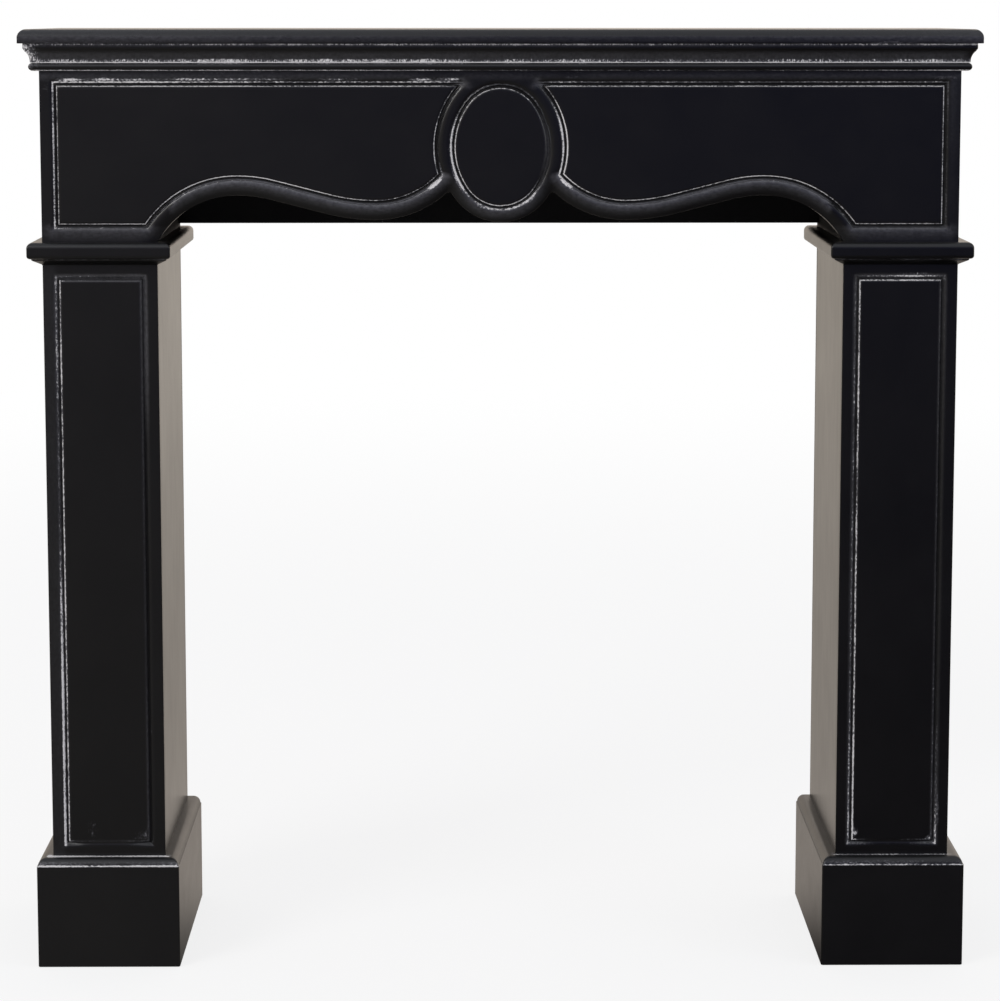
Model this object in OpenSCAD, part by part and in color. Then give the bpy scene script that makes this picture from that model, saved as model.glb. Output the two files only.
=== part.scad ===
// Free-standing fireplace surround: two box legs with plinths and capitals carry a frieze whose front
// has a serpentine lower edge and an oval medallion, under a moulded mantel shelf.
//
// Millimetres. The origin is on the floor, in the middle of the surround's width and depth. +X is to the
// right as seen from the room, -Y is towards the room and +Z is up. The back stands against the wall.

/* [Overall] */
// Width of the mantel shelf, the widest part
shelf_w = 1020; // [940:5:1200]
// Height from the floor to the top of the shelf
total_h = 1020; // [960:5:1200]
// Depth of the legs and frieze, from their face to the wall
body_d = 250; // [200:5:320]
// Thickness of the boards
board_t = 18; // [16:1:20]

/* [Mantel shelf] */
// Thickness of the shelf
shelf_t = 15; // [14:0.5:22]
// How far the shelf stands out past the frieze, at the front and both ends
shelf_out = 20; // [17:1:30]
// Radius of the rounding on the shelf's upper edge
shelf_round = 9; // [4:0.5:12]

/* [Crown moulding] */
// Height of the crown moulding under the shelf
crown_h = 29; // [28:0.5:34]
// How far its top stands out past the frieze
crown_out = 15; // [14:0.5:16.5]
// Radius of its cove
cove_r = 14; // [12:0.5:16]
// How far the foot of the cove stands out past the frieze
cove_foot = 8.5; // [7:0.5:10]
// Height of the cove's foot above the bead
cove_quirk = 1.8; // [1:0.1:2.5]
// Radius of the bead at the bottom
bead_r = 4.3; // [3.5:0.1:4.8]
// How far the middle of the bead stands out past the frieze
bead_out = 5.8; // [4.5:0.1:6.5]

/* [Frieze] */
// Height of the frieze from the legs to the crown moulding
frieze_h = 182; // [180:1:200]
// Height of the straight rail at the back
rail_h = 207; // [180:1:215]
// From the frieze's ends to the middle of its groove
frieze_groove_side = 16.3; // [14:0.1:20]
// From the crown moulding to the middle of the frieze's upper groove
frieze_groove_top = 14.2; // [12:0.1:16]
// From the legs to the middle of the frieze's lower groove
frieze_groove_bottom = 17.1; // [15:0.1:20]

/* [Serpentine edge] */
// From the middle of the frieze to the serpentine's low point
trough_x = 133; // [130:1:140]
// Height of the low point above the legs, at the edge of the field
trough_up = 44.5; // [42:0.5:47]
// Radius of the low point towards the medallion
trough_r = 91; // [86:1:96]
// From the leg's inner face to the serpentine's high point
crest_in = 85.5; // [80:0.5:90]
// Height of the high point above the legs, at the edge of the field
crest_up = 70.7; // [68:0.1:74]
// Radius of the high point towards the leg
crest_r = 120; // [112:1:126]
// Length of the straight between the low and the high curves
sway = 60; // [40:1:80]
// Part of the two curves' summed radii that the low curve has
trough_share = 0.55; // [0.5:0.01:0.6]
// Width of the border below the field, groove included
border_w = 21.2; // [20:0.1:23]
// How far the face of that border falls back to its lower edge
border_fall = 4; // [1:0.5:6]

/* [Medallion] */
// Half the width of the oval field
medal_a = 48.4; // [46:0.1:50]
// Half the height of the oval field
medal_b = 62.2; // [60:0.1:64]
// Radius of the oval field's top and bottom
medal_end_r = 42; // [40:0.5:44]
// Height of the medallion's middle above the legs
medal_up = 101; // [99:0.5:102]
// From the oval field to the ring's outer edge
ring_w = 17.8; // [16.5:0.1:19]
// From the oval field to the middle of the groove round the ring
ring_groove = 20.8; // [20:0.1:21.5]

/* [Grooves] */
// Width of the routed grooves
groove_w = 4.7; // [3:0.1:5]
// Depth of the routed grooves
groove_d = 3; // [1.5:0.1:4]

/* [Legs] */
// Width of each leg
leg_w = 123; // [110:1:150]
// From the leg's edges to the middle of its groove
leg_groove_side = 16; // [12:0.5:24]
// From the capital to the middle of the leg's upper groove
leg_groove_top = 12.2; // [10:0.1:24]
// From the plinth to the middle of the leg's lower groove
leg_groove_bottom = 13.8; // [10:0.1:24]

/* [Capital] */
// Height of the capital
capital_h = 27; // [22:0.5:28]
// How far the capital stands out past the leg
capital_out = 15; // [14:0.5:18]
// Radius of the rounding on the capital's upper edge
capital_round = 6; // [4:0.5:8]
// Radius of the rounding on the flat face's lower edge
capital_nose = 2; // [1:0.5:3]
// Height of the capital's lower half, below its flat face
capital_foot_h = 9.5; // [9:0.5:12]
// How far the small step under the flat face stands out past the leg
capital_step_out = 10.5; // [10:0.5:12]
// Height of the small step
capital_step_h = 1.5; // [1:0.1:2]
// Radius of the ovolo under the small step
capital_ovolo = 7; // [6:0.5:7]

/* [Plinth] */
// Height of the plinth
plinth_h = 121; // [90:1:180]
// Thickness of the plinth boards, which is how far they stand out past the leg
plinth_t = 16; // [14:0.5:18]
// Radius of the rounding on the plinth's upper edge
plinth_round = 8; // [6:0.5:12]
// Width of the ledge below that rounding
plinth_ledge = 1; // [0.5:0.1:1.5]

/* [Joints and fasteners] */
// Depth of the rebates in which the side boards sit
rebate_d = 9; // [6:1:10]
// Side of the triangular glue blocks
block_side = 20; // [15:1:22]
// Length of the glue blocks
block_l = 60; // [40:5:70]
// Diameter of the dowels between the leg fronts and the frieze
dowel_dia = 8; // [6:1:8]
// Length of those dowels
dowel_l = 30; // [24:2:30]
// From the middle of the leg to each dowel
dowel_off = 30; // [22:1:32]
// How far behind the middle of the board the dowels lie, clear of the groove
dowel_back = 1; // [0:0.5:1.5]
// Diameter of the bolts that hold the back rail
bolt_dia = 6; // [5:1:6]
// Length of those bolts under the head
bolt_l = 50; // [46:1:56]
// From the end of the rail to the barrel nut
nut_in = 24; // [20:1:26]
// Diameter of the barrel nuts
nut_dia = 10; // [9:1:11]
// Length of the barrel nuts
nut_l = 14; // [11:1:14]
// Distance between the two bolts at each end of the rail
bolt_pitch = 110; // [80:5:130]
// Diameter of the screws that hold the shelf
screw_dia = 4; // [3:0.5:5]
// Depth of those screws in the shelf
screw_bite = 10; // [8:0.5:11]
// Distance between the two screws in each leg
screw_pitch = 150; // [100:5:160]
// Distance between the two wall screws in the back rail
wall_hole_pitch = 500; // [300:10:560]
// Diameter of the holes for the wall screws
wall_hole_dia = 6; // [5:0.5:8]
// Height of the wall screws below the shelf
wall_hole_drop = 70; // [50:5:90]
// Clearance of screws, bolts and dowels in their holes
fit_gap = 0.15; // [0.1:0.05:0.3]

/* [Hidden] */

paint = [0.13, 0.13, 0.14];
raw_wood = [0.72, 0.56, 0.38];
steel = [0.72, 0.73, 0.75];

$fn = 64;
// Steps along each arc of a sawn edge, and of a groove, which differ so that their facets don't line up
edge_n = 14;
groove_n = 11;
// Steps across a border that falls back
fall_n = 4;
// How far a cutting shape runs past what it cuts
over = 1;
// Height, width and socket of a bolt's or screw's head, as parts of its diameter
head_high = 0.6;
head_wide = 2;
socket_wide = 0.8;

// Widths, from the middle
body_x = shelf_w / 2 - shelf_out;
open_x = body_x - leg_w;
leg_mid = body_x - leg_w / 2;
// Depths
front_y = shelf_out - (body_d + shelf_out) / 2;
wall_y = front_y + body_d;
behind_front = front_y + board_t;
// Heights
shelf_z = total_h - shelf_t;
crown_z = shelf_z - crown_h;
leg_top = crown_z - frieze_h;
capital_z = leg_top - capital_h;
bolt_z = [for (s = [-1, 1]) shelf_z - rail_h / 2 + s * bolt_pitch / 2];

// Half the groove's width where its tool stands above the face
groove_over = groove_w / 2 * (groove_d + over) / groove_d;
// Lines of the frieze's grooves
groove_x = body_x - frieze_groove_side;
groove_top = crown_z - frieze_groove_top;
groove_bottom = leg_top + frieze_groove_bottom;

// The serpentine's right half is four arcs and a straight. Its two middle radii follow from the heights
// and places of its low and high points and from the length of the straight.
crest_x = open_x - crest_in;
rise = crest_up - trough_up;
run = crest_x - trough_x;
radii = (run * run + rise * rise - sway * sway) / (2 * rise);
trough_out_r = radii * trough_share;
crest_out_r = radii - trough_out_r;
slope = atan2(run, radii - rise) - atan2(sway, radii);
trough_c = [trough_x, leg_top + trough_up + trough_r];
trough_out_c = [trough_x, leg_top + trough_up + trough_out_r];
crest_out_c = [crest_x, leg_top + crest_up - crest_out_r];
crest_c = [crest_x, leg_top + crest_up - crest_r];

// The medallion's oval is four arcs: its sides' radius follows from its half axes and its ends' radius
medal_c = [0, leg_top + medal_up];
end_up = medal_b - medal_end_r;
side_r = (medal_a * medal_a + end_up * end_up - medal_end_r * medal_end_r) / (2 * (medal_a - medal_end_r));
side_in = side_r - medal_a;
join_a = atan2(end_up, side_in);
side_c = medal_c - [side_in, 0];
end_c = medal_c + [0, end_up];

function unit(v) = v / norm(v);
// A point on a circle, an arc's points after its first, and the angle on circle 1 where it meets circle 2
function on_circle(c, r, a) = c + r * [cos(a), sin(a)];
function arc(c, r, a0, a1, n) = [for (i = [1:n]) on_circle(c, r, a0 + (a1 - a0) * i / n)];
function bearing(p, q) = atan2(q.y - p.y, q.x - p.x);
function meeting(c1, r1, c2, r2, side) =
    let (d = norm(c2 - c1))
    bearing(c1, c2) + side * acos((d * d + r1 * r1 - r2 * r2) / (2 * d * r1));

// The angle at which the line d below the serpentine leaves a ring r wide round the oval
function leaves_ring(d, r) = meeting(trough_c, trough_r + d, side_c, side_r + r, 1);
// The angle at which that line, run on inside the ring, is as high as the medallion's middle
function run_on(d) = asin((trough_c.y - medal_c.y) / (trough_r + d)) - 180;
// The angle at which that line comes down to height z by the leg
function reaches(d, z) = asin((z - crest_c.y) / (crest_r - d));
// The right half of the line d below the serpentine, from angle a to where it comes down to height z
function serpentine(d, a, z, n) = concat(
    [on_circle(trough_c, trough_r + d, a)],
    arc(trough_c, trough_r + d, a, -90, n),
    arc(trough_out_c, trough_out_r + d, -90, slope - 90, n),
    [on_circle(crest_out_c, crest_out_r - d, 90 + slope)],
    arc(crest_out_c, crest_out_r - d, 90 + slope, 90, n),
    arc(crest_c, crest_r - d, 90, reaches(d, z), n)
);
// The oval's outline, d outside its field
function oval(d, n) = concat(
    arc(side_c, side_r + d, -join_a, join_a, n),
    arc(end_c, medal_end_r + d, join_a, 180 - join_a, n),
    arc(medal_c + [side_in, 0], side_r + d, 180 - join_a, 180 + join_a, n),
    arc(medal_c - [0, end_up], medal_end_r + d, 180 + join_a, 360 - join_a, n)
);

// Puts a right-hand piece on its side: 1 is right, -1 is left
module on_side(side) {
    if (side < 0) mirror([1, 0, 0]) children();
    else children();
}

// Both sides at once
module both_sides() {
    children();
    mirror([1, 0, 0]) children();
}

// Stands a board that is drawn lying face up, with its face at height 0, so that it faces the room
module stand_at(y) {
    translate([0, y, 0]) rotate([90, 0, 0]) children();
}

// Sweeps a section, a ring of points, along a path on a lying board's face. The section's X is to the left
// of the path and its Y is up. It turns each corner of the path on a mitre.
module sweep(path, section, closed) {
    n = len(path);
    m = len(section);
    steps = closed ? n : n - 1;
    points = [for (i = [0:n - 1])
        let (
            before = path[i] - path[closed ? (i + n - 1) % n : max(i - 1, 0)],
            after = path[closed ? (i + 1) % n : min(i + 1, n - 1)] - path[i],
            u = unit(norm(before) > 0 ? before : after),
            v = unit(norm(after) > 0 ? after : before),
            along = unit(u + v),
            across = [-along.y, along.x] / (u * along)
        )
        for (q = section) [path[i].x + across.x * q.x, path[i].y + across.y * q.x, q.y]
    ];
    sides = [for (i = [0:steps - 1], j = [0:m - 1])
        let (k = ((i + 1) % n) * m, next = (j + 1) % m)
        [i * m + j, k + j, k + next, i * m + next]
    ];
    caps = closed ? [] : [[for (j = [0:m - 1]) j], [for (j = [m - 1:-1:0]) (n - 1) * m + j]];
    polyhedron(points, concat(sides, caps));
}

// A routed groove
module groove(path) {
    sweep(path, [[-groove_over, over], [0, -groove_d], [groove_over, over]], true);
}

// What a rounding takes off an edge at X = 0, whose solid is on the side of negative X and below Y = 0
module rounding_section(r) {
    difference() {
        translate([-r, -r]) square(r + over);
        translate([-r, -r]) circle(r);
    }
}

// A moulding glued to a face at y = 0, which runs along X with its middle at x = 0. Its section's X is
// outwards, to the room. Each end is mitred out by 45 degrees (1) or cut square (0).
module moulding(length, out, h, left_mitre, right_mitre) {
    left = length / 2 + left_mitre * (out + over);
    right = length / 2 + right_mitre * (out + over);
    intersection() {
        rotate([90, 0, -90]) linear_extrude(length + 4 * out, center = true) children();
        linear_extrude(h) polygon([
            [-length / 2, 0], [length / 2, 0], [right, -out - over], [-left, -out - over]
        ]);
    }
}

// The same moulding along the side of a body d deep, square at the wall and mitred at the front: it
// stands out to the right of x
module side_moulding(x, d, out, h) {
    translate([x, wall_y - d / 2, 0]) rotate([0, 0, 90]) moulding(d, out, h, 1, 0) children();
}

module crown_section() {
    cove_z = 2 * bead_r + cove_quirk;
    difference() {
        translate([0, 2 * bead_r]) square([crown_out, crown_h - 2 * bead_r]);
        translate([cove_foot + cove_r, cove_z]) circle(cove_r);
    }
    square([bead_out, 2 * bead_r + over]);
    translate([bead_out, bead_r]) circle(bead_r);
}

module capital_section() {
    step_z = capital_foot_h - capital_step_h;
    difference() {
        translate([0, capital_foot_h]) square([capital_out, capital_h - capital_foot_h]);
        translate([capital_out, capital_h]) rounding_section(capital_round);
        translate([capital_out, capital_foot_h]) mirror([0, 1]) rounding_section(capital_nose);
    }
    translate([0, step_z]) square([capital_step_out, capital_step_h + over]);
    square([capital_step_out - capital_ovolo, step_z]);
    intersection() {
        translate([0, step_z - capital_ovolo]) square([capital_step_out, capital_ovolo]);
        translate([capital_step_out - capital_ovolo, step_z]) circle(capital_ovolo);
    }
}

module plinth_section() {
    difference() {
        square([plinth_t, plinth_h]);
        translate([plinth_t - plinth_ledge, plinth_h]) rounding_section(plinth_round);
        translate([plinth_t - plinth_ledge, plinth_h - plinth_round]) square(plinth_round + over);
    }
}

module mantel_shelf() {
    color(paint) difference() {
        translate([-shelf_w / 2, -wall_y, shelf_z]) cube([shelf_w, 2 * wall_y, shelf_t]);
        translate([0, -wall_y, total_h]) rotate([90, 0, -90])
            linear_extrude(shelf_w + 2 * over, center = true) rounding_section(shelf_round);
        both_sides() translate([shelf_w / 2, 0, total_h]) rotate([90, 0, 0])
            linear_extrude(2 * wall_y + 2 * over, center = true) rounding_section(shelf_round);
        both_sides() shelf_screw_places() translate([0, 0, shelf_z - over])
            cylinder(h = screw_bite + 2 * over, d = screw_dia + 2 * fit_gap);
    }
}

module crown_front() {
    color(paint) translate([0, front_y, crown_z])
        moulding(2 * body_x, crown_out, crown_h, 1, 1) crown_section();
}

module crown_side(side) {
    color(paint) on_side(side) translate([0, 0, crown_z])
        side_moulding(body_x, body_d, crown_out, crown_h) crown_section();
}

// What makes a border fall back to its edge in a shallow arc: the path is the edge, w is how far in from
// it the fall begins, and the solid is to the left
module fall_off(path, w) {
    r = (w * w + border_fall * border_fall) / (2 * border_fall);
    turn = asin(w / r);
    leans = [for (i = [0:fall_n]) turn * (1 - i / fall_n)];
    face = [for (a = leans) [w, -r] + r * [-sin(a), cos(a)]];
    sweep(path, concat([[w, over], [-over, over], [-over, -border_fall]], face), false);
}

// The board without its medallion: its serpentine edge runs on inside the ring
module frieze_board() {
    low = leg_top - border_w;
    edge = serpentine(border_w, run_on(border_w), low, edge_n);
    difference() {
        translate([0, 0, -board_t]) linear_extrude(board_t) difference() {
            translate([-body_x, leg_top]) square([2 * body_x, shelf_z - leg_top]);
            both_sides() polygon(concat([[0, low], [0, medal_c.y]], edge));
        }
        both_sides() fall_off(edge, border_w - groove_w / 2);
    }
}

// The medallion's ring, whose lower half falls back to its edge like the serpentine's border
module medallion() {
    left_c = medal_c + [side_in, 0];
    lower = concat(
        [on_circle(left_c, side_r + ring_w, 180)],
        arc(left_c, side_r + ring_w, 180, 180 + join_a, edge_n),
        arc(medal_c - [0, end_up], medal_end_r + ring_w, 180 + join_a, 360 - join_a, edge_n),
        arc(side_c, side_r + ring_w, -join_a, 0, edge_n)
    );
    difference() {
        translate([0, 0, -board_t]) linear_extrude(board_t) polygon(oval(ring_w, edge_n));
        fall_off(lower, ring_w - groove_w / 2);
    }
}

// The path of the groove round the right field: the serpentine, the lower, side and upper straights, and
// down round the medallion's ring to where it began
function field_path() =
    let (
        mid = groove_w / 2,
        ring_low = meeting(side_c, side_r + ring_groove, trough_c, trough_r + mid, -1),
        ring_high = asin((groove_top - end_c.y) / (medal_end_r + ring_groove)),
        ring_side = arc(side_c, side_r + ring_groove, join_a, ring_low, groove_n)
    )
    concat(
        serpentine(mid, leaves_ring(mid, ring_groove), groove_bottom, groove_n),
        [[groove_x, groove_bottom], [groove_x, groove_top]],
        [on_circle(end_c, medal_end_r + ring_groove, ring_high)],
        arc(end_c, medal_end_r + ring_groove, ring_high, join_a, groove_n),
        [for (i = [0:groove_n - 2]) ring_side[i]]
    );

// The frieze's front is one board: its lower edge is sawn to the serpentine and the medallion's ring, a
// groove runs round each of its two fields and round the oval, and its ends have rebates at the back
module frieze_front() {
    color(paint) difference() {
        stand_at(front_y) difference() {
            union() {
                frieze_board();
                medallion();
            }
            both_sides() groove(field_path());
            groove(oval(groove_w / 2, groove_n));
        }
        both_sides() translate([body_x - board_t, front_y + board_t - rebate_d, leg_top - over])
            cube([board_t + over, rebate_d + over, shelf_z - leg_top + 2 * over]);
        both_sides() dowel_places() dowel_hole();
    }
}

module back_rail() {
    color(paint) difference() {
        translate([-open_x, wall_y - board_t, shelf_z - rail_h]) cube([2 * open_x, board_t, rail_h]);
        both_sides() rail_bolt_places() translate([0, 0, board_t - over])
            cylinder(h = bolt_l - board_t + 2 * over, d = bolt_dia + 2 * fit_gap);
        both_sides() barrel_nut_places() translate([0, 0, -fit_gap])
            cylinder(h = board_t + over, d = nut_dia + 2 * fit_gap);
        both_sides() translate([wall_hole_pitch / 2, wall_y + over, shelf_z - wall_hole_drop])
            rotate([90, 0, 0]) cylinder(h = board_t + 2 * over, d = wall_hole_dia);
    }
}

// The leg's front board, with a rebate along each long edge at the back
module leg_front(side) {
    x0 = open_x + leg_groove_side;
    x1 = body_x - leg_groove_side;
    z0 = plinth_h + leg_groove_bottom;
    z1 = capital_z - leg_groove_top;
    color(paint) on_side(side) difference() {
        translate([open_x, front_y, 0]) cube([leg_w, board_t, leg_top]);
        for (x = [open_x - over, body_x - board_t])
            translate([x, front_y + board_t - rebate_d, -over])
                cube([board_t + over, rebate_d + over, leg_top + 2 * over]);
        stand_at(front_y) groove([[x0, z0], [x1, z0], [x1, z1], [x0, z1]]);
        dowel_places() dowel_hole();
    }
}

// The side boards run from the floor to the shelf. The inner one is notched to pass behind the frieze.
module leg_inner(side) {
    lip_y = behind_front - rebate_d;
    color(paint) on_side(side) difference() {
        translate([open_x, lip_y, 0]) cube([board_t, wall_y - lip_y, shelf_z]);
        translate([open_x - over, lip_y - over, leg_top])
            cube([board_t + 2 * over, rebate_d + over, shelf_z - leg_top + over]);
        rail_bolt_places() translate([0, 0, -over])
            cylinder(h = board_t + 2 * over, d = bolt_dia + 2 * fit_gap);
    }
}

module leg_outer(side) {
    lip_y = behind_front - rebate_d;
    color(paint) on_side(side)
        translate([body_x - board_t, lip_y, 0]) cube([board_t, wall_y - lip_y, shelf_z]);
}

// A plate that closes the leg's box at height z
module leg_plate(z) {
    translate([open_x + board_t, behind_front, z])
        cube([leg_w - 2 * board_t, wall_y - behind_front, board_t]);
}

module leg_cap(side) {
    color(paint) on_side(side) difference() {
        leg_plate(shelf_z - board_t);
        shelf_screw_places() translate([0, 0, shelf_z - board_t - over])
            cylinder(h = board_t + 2 * over, d = screw_dia + 2 * fit_gap);
    }
}

// Backs the seam between the leg's front and the frieze
module leg_brace(side) {
    color(paint) on_side(side) leg_plate(leg_top - board_t / 2);
}

module leg_foot(side) {
    color(paint) on_side(side) leg_plate(0);
}

// A moulding on one of the leg's three faces
module leg_moulding(face, out, h) {
    if (face == "front")
        translate([leg_mid, front_y, 0]) moulding(leg_w, out, h, 1, 1) children();
    if (face == "outer")
        side_moulding(body_x, body_d, out, h) children();
    if (face == "inner")
        mirror([1, 0, 0]) side_moulding(-open_x, body_d, out, h) children();
}

module capital(side, face) {
    color(paint) on_side(side) translate([0, 0, capital_z])
        leg_moulding(face, capital_out, capital_h) capital_section();
}

module plinth(side, face) {
    color(paint) on_side(side) leg_moulding(face, plinth_t, plinth_h) plinth_section();
}

// A triangular glue block, its right angle at the origin, along Z
module block() {
    linear_extrude(block_l, center = true) polygon([[0, 0], [block_side, 0], [0, block_side]]);
}

// Three blocks up each corner behind the leg's front
module leg_blocks(side) {
    z0 = board_t + block_l;
    z1 = leg_top - board_t - block_l;
    color(raw_wood) on_side(side) for (z = [z0, (z0 + z1) / 2, z1]) {
        translate([open_x + board_t, behind_front, z]) block();
        translate([body_x - board_t, behind_front, z]) mirror([1, 0, 0]) block();
    }
}

// Blocks under the shelf, behind the frieze and in front of the back rail
module shelf_blocks() {
    color(raw_wood) for (x = [-2:2]) {
        translate([x * (open_x - block_l) / 2, behind_front, shelf_z]) rotate([0, 90, 0]) block();
        translate([x * (open_x - block_l) / 2, wall_y - board_t, shelf_z])
            mirror([0, 1, 0]) rotate([0, 90, 0]) block();
    }
}

// Where the fasteners of the right side go: dowels and screws upright, bolts with their shank towards
// the middle of the surround from the face that their head sits on, nuts with their axis to the room
module dowel_places() {
    dowel_y = front_y + board_t / 2 + dowel_back;
    for (s = [-1, 1]) translate([leg_mid + s * dowel_off, dowel_y, leg_top]) children();
}

module dowel_hole() {
    cylinder(h = dowel_l + 2 * fit_gap, d = dowel_dia + 2 * fit_gap, center = true);
}

module shelf_screw_places() {
    mid_y = (behind_front + wall_y) / 2;
    for (s = [-1, 1]) translate([leg_mid, mid_y + s * screw_pitch / 2, 0]) children();
}

module rail_bolt_places() {
    for (z = bolt_z)
        translate([open_x + board_t, wall_y - board_t / 2, z]) rotate([0, -90, 0]) children();
}

module barrel_nut_places() {
    back = (board_t - nut_l) / 2;
    for (z = bolt_z)
        translate([open_x - nut_in, wall_y - back, z]) rotate([90, 0, 0]) children();
}

module joint_dowels() {
    color(raw_wood) both_sides() dowel_places() cylinder(h = dowel_l, d = dowel_dia, center = true);
}

module rail_bolts() {
    head_h = bolt_dia * head_high;
    color(steel) both_sides() rail_bolt_places() {
        cylinder(h = bolt_l, d = bolt_dia);
        translate([0, 0, -head_h]) difference() {
            cylinder(h = head_h, d = bolt_dia * head_wide);
            translate([0, 0, -over]) cylinder(h = head_h / 2 + over, d = bolt_dia * socket_wide, $fn = 6);
        }
    }
}

module barrel_nuts() {
    color(steel) both_sides() barrel_nut_places() difference() {
        cylinder(h = nut_l, d = nut_dia);
        translate([0, 0, nut_l / 2]) rotate([0, 90, 0])
            cylinder(h = 2 * nut_dia, d = bolt_dia + 2 * fit_gap, center = true);
    }
}

module shelf_screws() {
    head_h = screw_dia * head_high;
    color(steel) both_sides() shelf_screw_places() translate([0, 0, shelf_z - board_t]) {
        cylinder(h = board_t + screw_bite, d = screw_dia);
        translate([0, 0, -head_h]) cylinder(h = head_h, d = screw_dia * head_wide);
    }
}

mantel_shelf();
crown_front();
crown_side(-1);  // crown_left
crown_side(1);  // crown_right
frieze_front();
back_rail();
leg_front(-1);  // leg_front_left
leg_front(1);  // leg_front_right
leg_inner(-1);  // leg_inner_left
leg_inner(1);  // leg_inner_right
leg_outer(-1);  // leg_outer_left
leg_outer(1);  // leg_outer_right
leg_cap(-1);  // leg_cap_left
leg_cap(1);  // leg_cap_right
leg_brace(-1);  // leg_brace_left
leg_brace(1);  // leg_brace_right
leg_foot(-1);  // leg_foot_left
leg_foot(1);  // leg_foot_right
capital(-1, "front");  // capital_front_left
capital(-1, "inner");  // capital_inner_left
capital(-1, "outer");  // capital_outer_left
capital(1, "front");  // capital_front_right
capital(1, "inner");  // capital_inner_right
capital(1, "outer");  // capital_outer_right
plinth(-1, "front");  // plinth_front_left
plinth(-1, "inner");  // plinth_inner_left
plinth(-1, "outer");  // plinth_outer_left
plinth(1, "front");  // plinth_front_right
plinth(1, "inner");  // plinth_inner_right
plinth(1, "outer");  // plinth_outer_right
leg_blocks(-1);  // leg_blocks_left
leg_blocks(1);  // leg_blocks_right
shelf_blocks();
joint_dowels();
rail_bolts();
barrel_nuts();
shelf_screws();
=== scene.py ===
# A free-standing wooden fireplace surround in worn black paint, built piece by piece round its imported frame.
# Shapes are drawn in millimetres and scaled to metres when each piece is finished. +X is to the right as
# seen from the room, -Y towards the room, +Z up, and the origin is on the floor in the middle.
import math

import bmesh
import bpy
import numpy as np
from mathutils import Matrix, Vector
from mathutils.geometry import delaunay_2d_cdt


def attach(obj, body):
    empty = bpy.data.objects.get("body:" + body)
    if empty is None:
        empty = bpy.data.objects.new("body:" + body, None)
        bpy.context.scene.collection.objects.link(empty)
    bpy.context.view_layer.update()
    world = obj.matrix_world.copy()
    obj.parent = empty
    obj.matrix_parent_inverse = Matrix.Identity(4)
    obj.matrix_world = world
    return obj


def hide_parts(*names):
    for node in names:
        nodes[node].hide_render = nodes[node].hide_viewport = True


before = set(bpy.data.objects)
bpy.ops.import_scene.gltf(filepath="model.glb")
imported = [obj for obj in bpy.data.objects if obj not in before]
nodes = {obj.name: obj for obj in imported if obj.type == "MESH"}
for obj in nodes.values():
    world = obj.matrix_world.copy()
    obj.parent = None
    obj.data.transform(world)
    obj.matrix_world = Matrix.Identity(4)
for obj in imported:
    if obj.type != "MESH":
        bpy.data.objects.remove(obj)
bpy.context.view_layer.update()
scene = bpy.context.scene
MM = 0.001


# The room: a pale floor, a white surrounding that is dim on the camera's side, and two soft lamps. The
# camera stands in front of the surround, a little above its shelf.
def node(tree, kind, *first, **values):
    """A shader node. first fills its inputs in order, and values its properties and inputs by name. A value
    may be another node's output, which is linked, and a colour is written without its alpha."""
    made = tree.nodes.new("ShaderNode" + kind)
    for key in [key for key in values if hasattr(made, key)]:
        setattr(made, key, values.pop(key))
    named = [(made.inputs[key.replace("_", " ")], value) for key, value in values.items()]
    for socket, value in list(zip(made.inputs, first)) + named:
        if isinstance(value, bpy.types.NodeSocket):
            tree.links.new(value, socket)
        elif socket.type == "RGBA":
            socket.default_value = (*value, 1)
        else:
            socket.default_value = value
    return made


def maths(tree, operation, *values):
    """The result of a calculation with values or other nodes' outputs."""
    return node(tree, "Math", *values, operation=operation).outputs[0]


def between(tree, a, b, by, kind="RGBA"):
    """A colour, or a value with kind FLOAT, that goes from a to b while by goes from 0 to 1."""
    return node(tree, "Mix", data_type=kind, A=a, B=b, Factor=by).outputs["Result"]


def ramp(tree, source, low, high, to_low=0.0, to_high=1.0, how="SMOOTHSTEP"):
    """A value that goes from to_low to to_high while source goes from low to high."""
    return node(tree, "MapRange", interpolation_type=how, Value=source, From_Min=low, From_Max=high,
                To_Min=to_low, To_Max=to_high).outputs["Result"]


def bare_material(name):
    """A new material without nodes, and its node tree."""
    made = bpy.data.materials.new(name)
    made.use_nodes = True
    tree = made.node_tree
    tree.nodes.clear()
    return made, tree


# What the paint mirrors: bright low behind the surround, softly lit above it and above the camera, dim at
# the camera's own height, and grey on both sides. The ramps' ends are parts of a direction, from -1 to 1.
white = (1, 1, 1)
room_behind_left = (0.98, 0.86, 0.74)
room_behind_right = (1.2, 1.06, 0.93)
room_above = (0.62, 0.62, 0.65)
room_front_above = (0.77, 0.8, 0.88)
room_front_left = (0.37, 0.335, 0.3)
room_front_right = (0.0, 0.015, 0.19)
room_sides = (0.3, 0.3, 0.31)

room = bpy.data.worlds.new("room")
scene.world = room
room.use_nodes = True
tree = room.node_tree
tree.nodes.clear()
x, y, z = node(tree, "SeparateXYZ", node(tree, "TexCoord").outputs["Generated"]).outputs
front = between(tree, room_front_left, room_front_right, ramp(tree, x, -0.36, 0.08))
front = between(tree, front, room_front_above, ramp(tree, z, 0.2, 0.45))
front = between(tree, front, room_sides, ramp(tree, maths(tree, "ABSOLUTE", x), 0.42, 0.66))
back = between(tree, room_behind_left, room_behind_right, ramp(tree, x, -0.15, 0.15))
back = between(tree, back, room_above, ramp(tree, z, 0.3, 0.75))
backward = ramp(tree, maths(tree, "MULTIPLY_ADD", x, 0.6, y), 0.0, 0.5)
lit = node(tree, "Background", Color=between(tree, front, back, backward))
seen = node(tree, "Background", Color=white, Strength=1.0)
ray = node(tree, "LightPath").outputs
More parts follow.
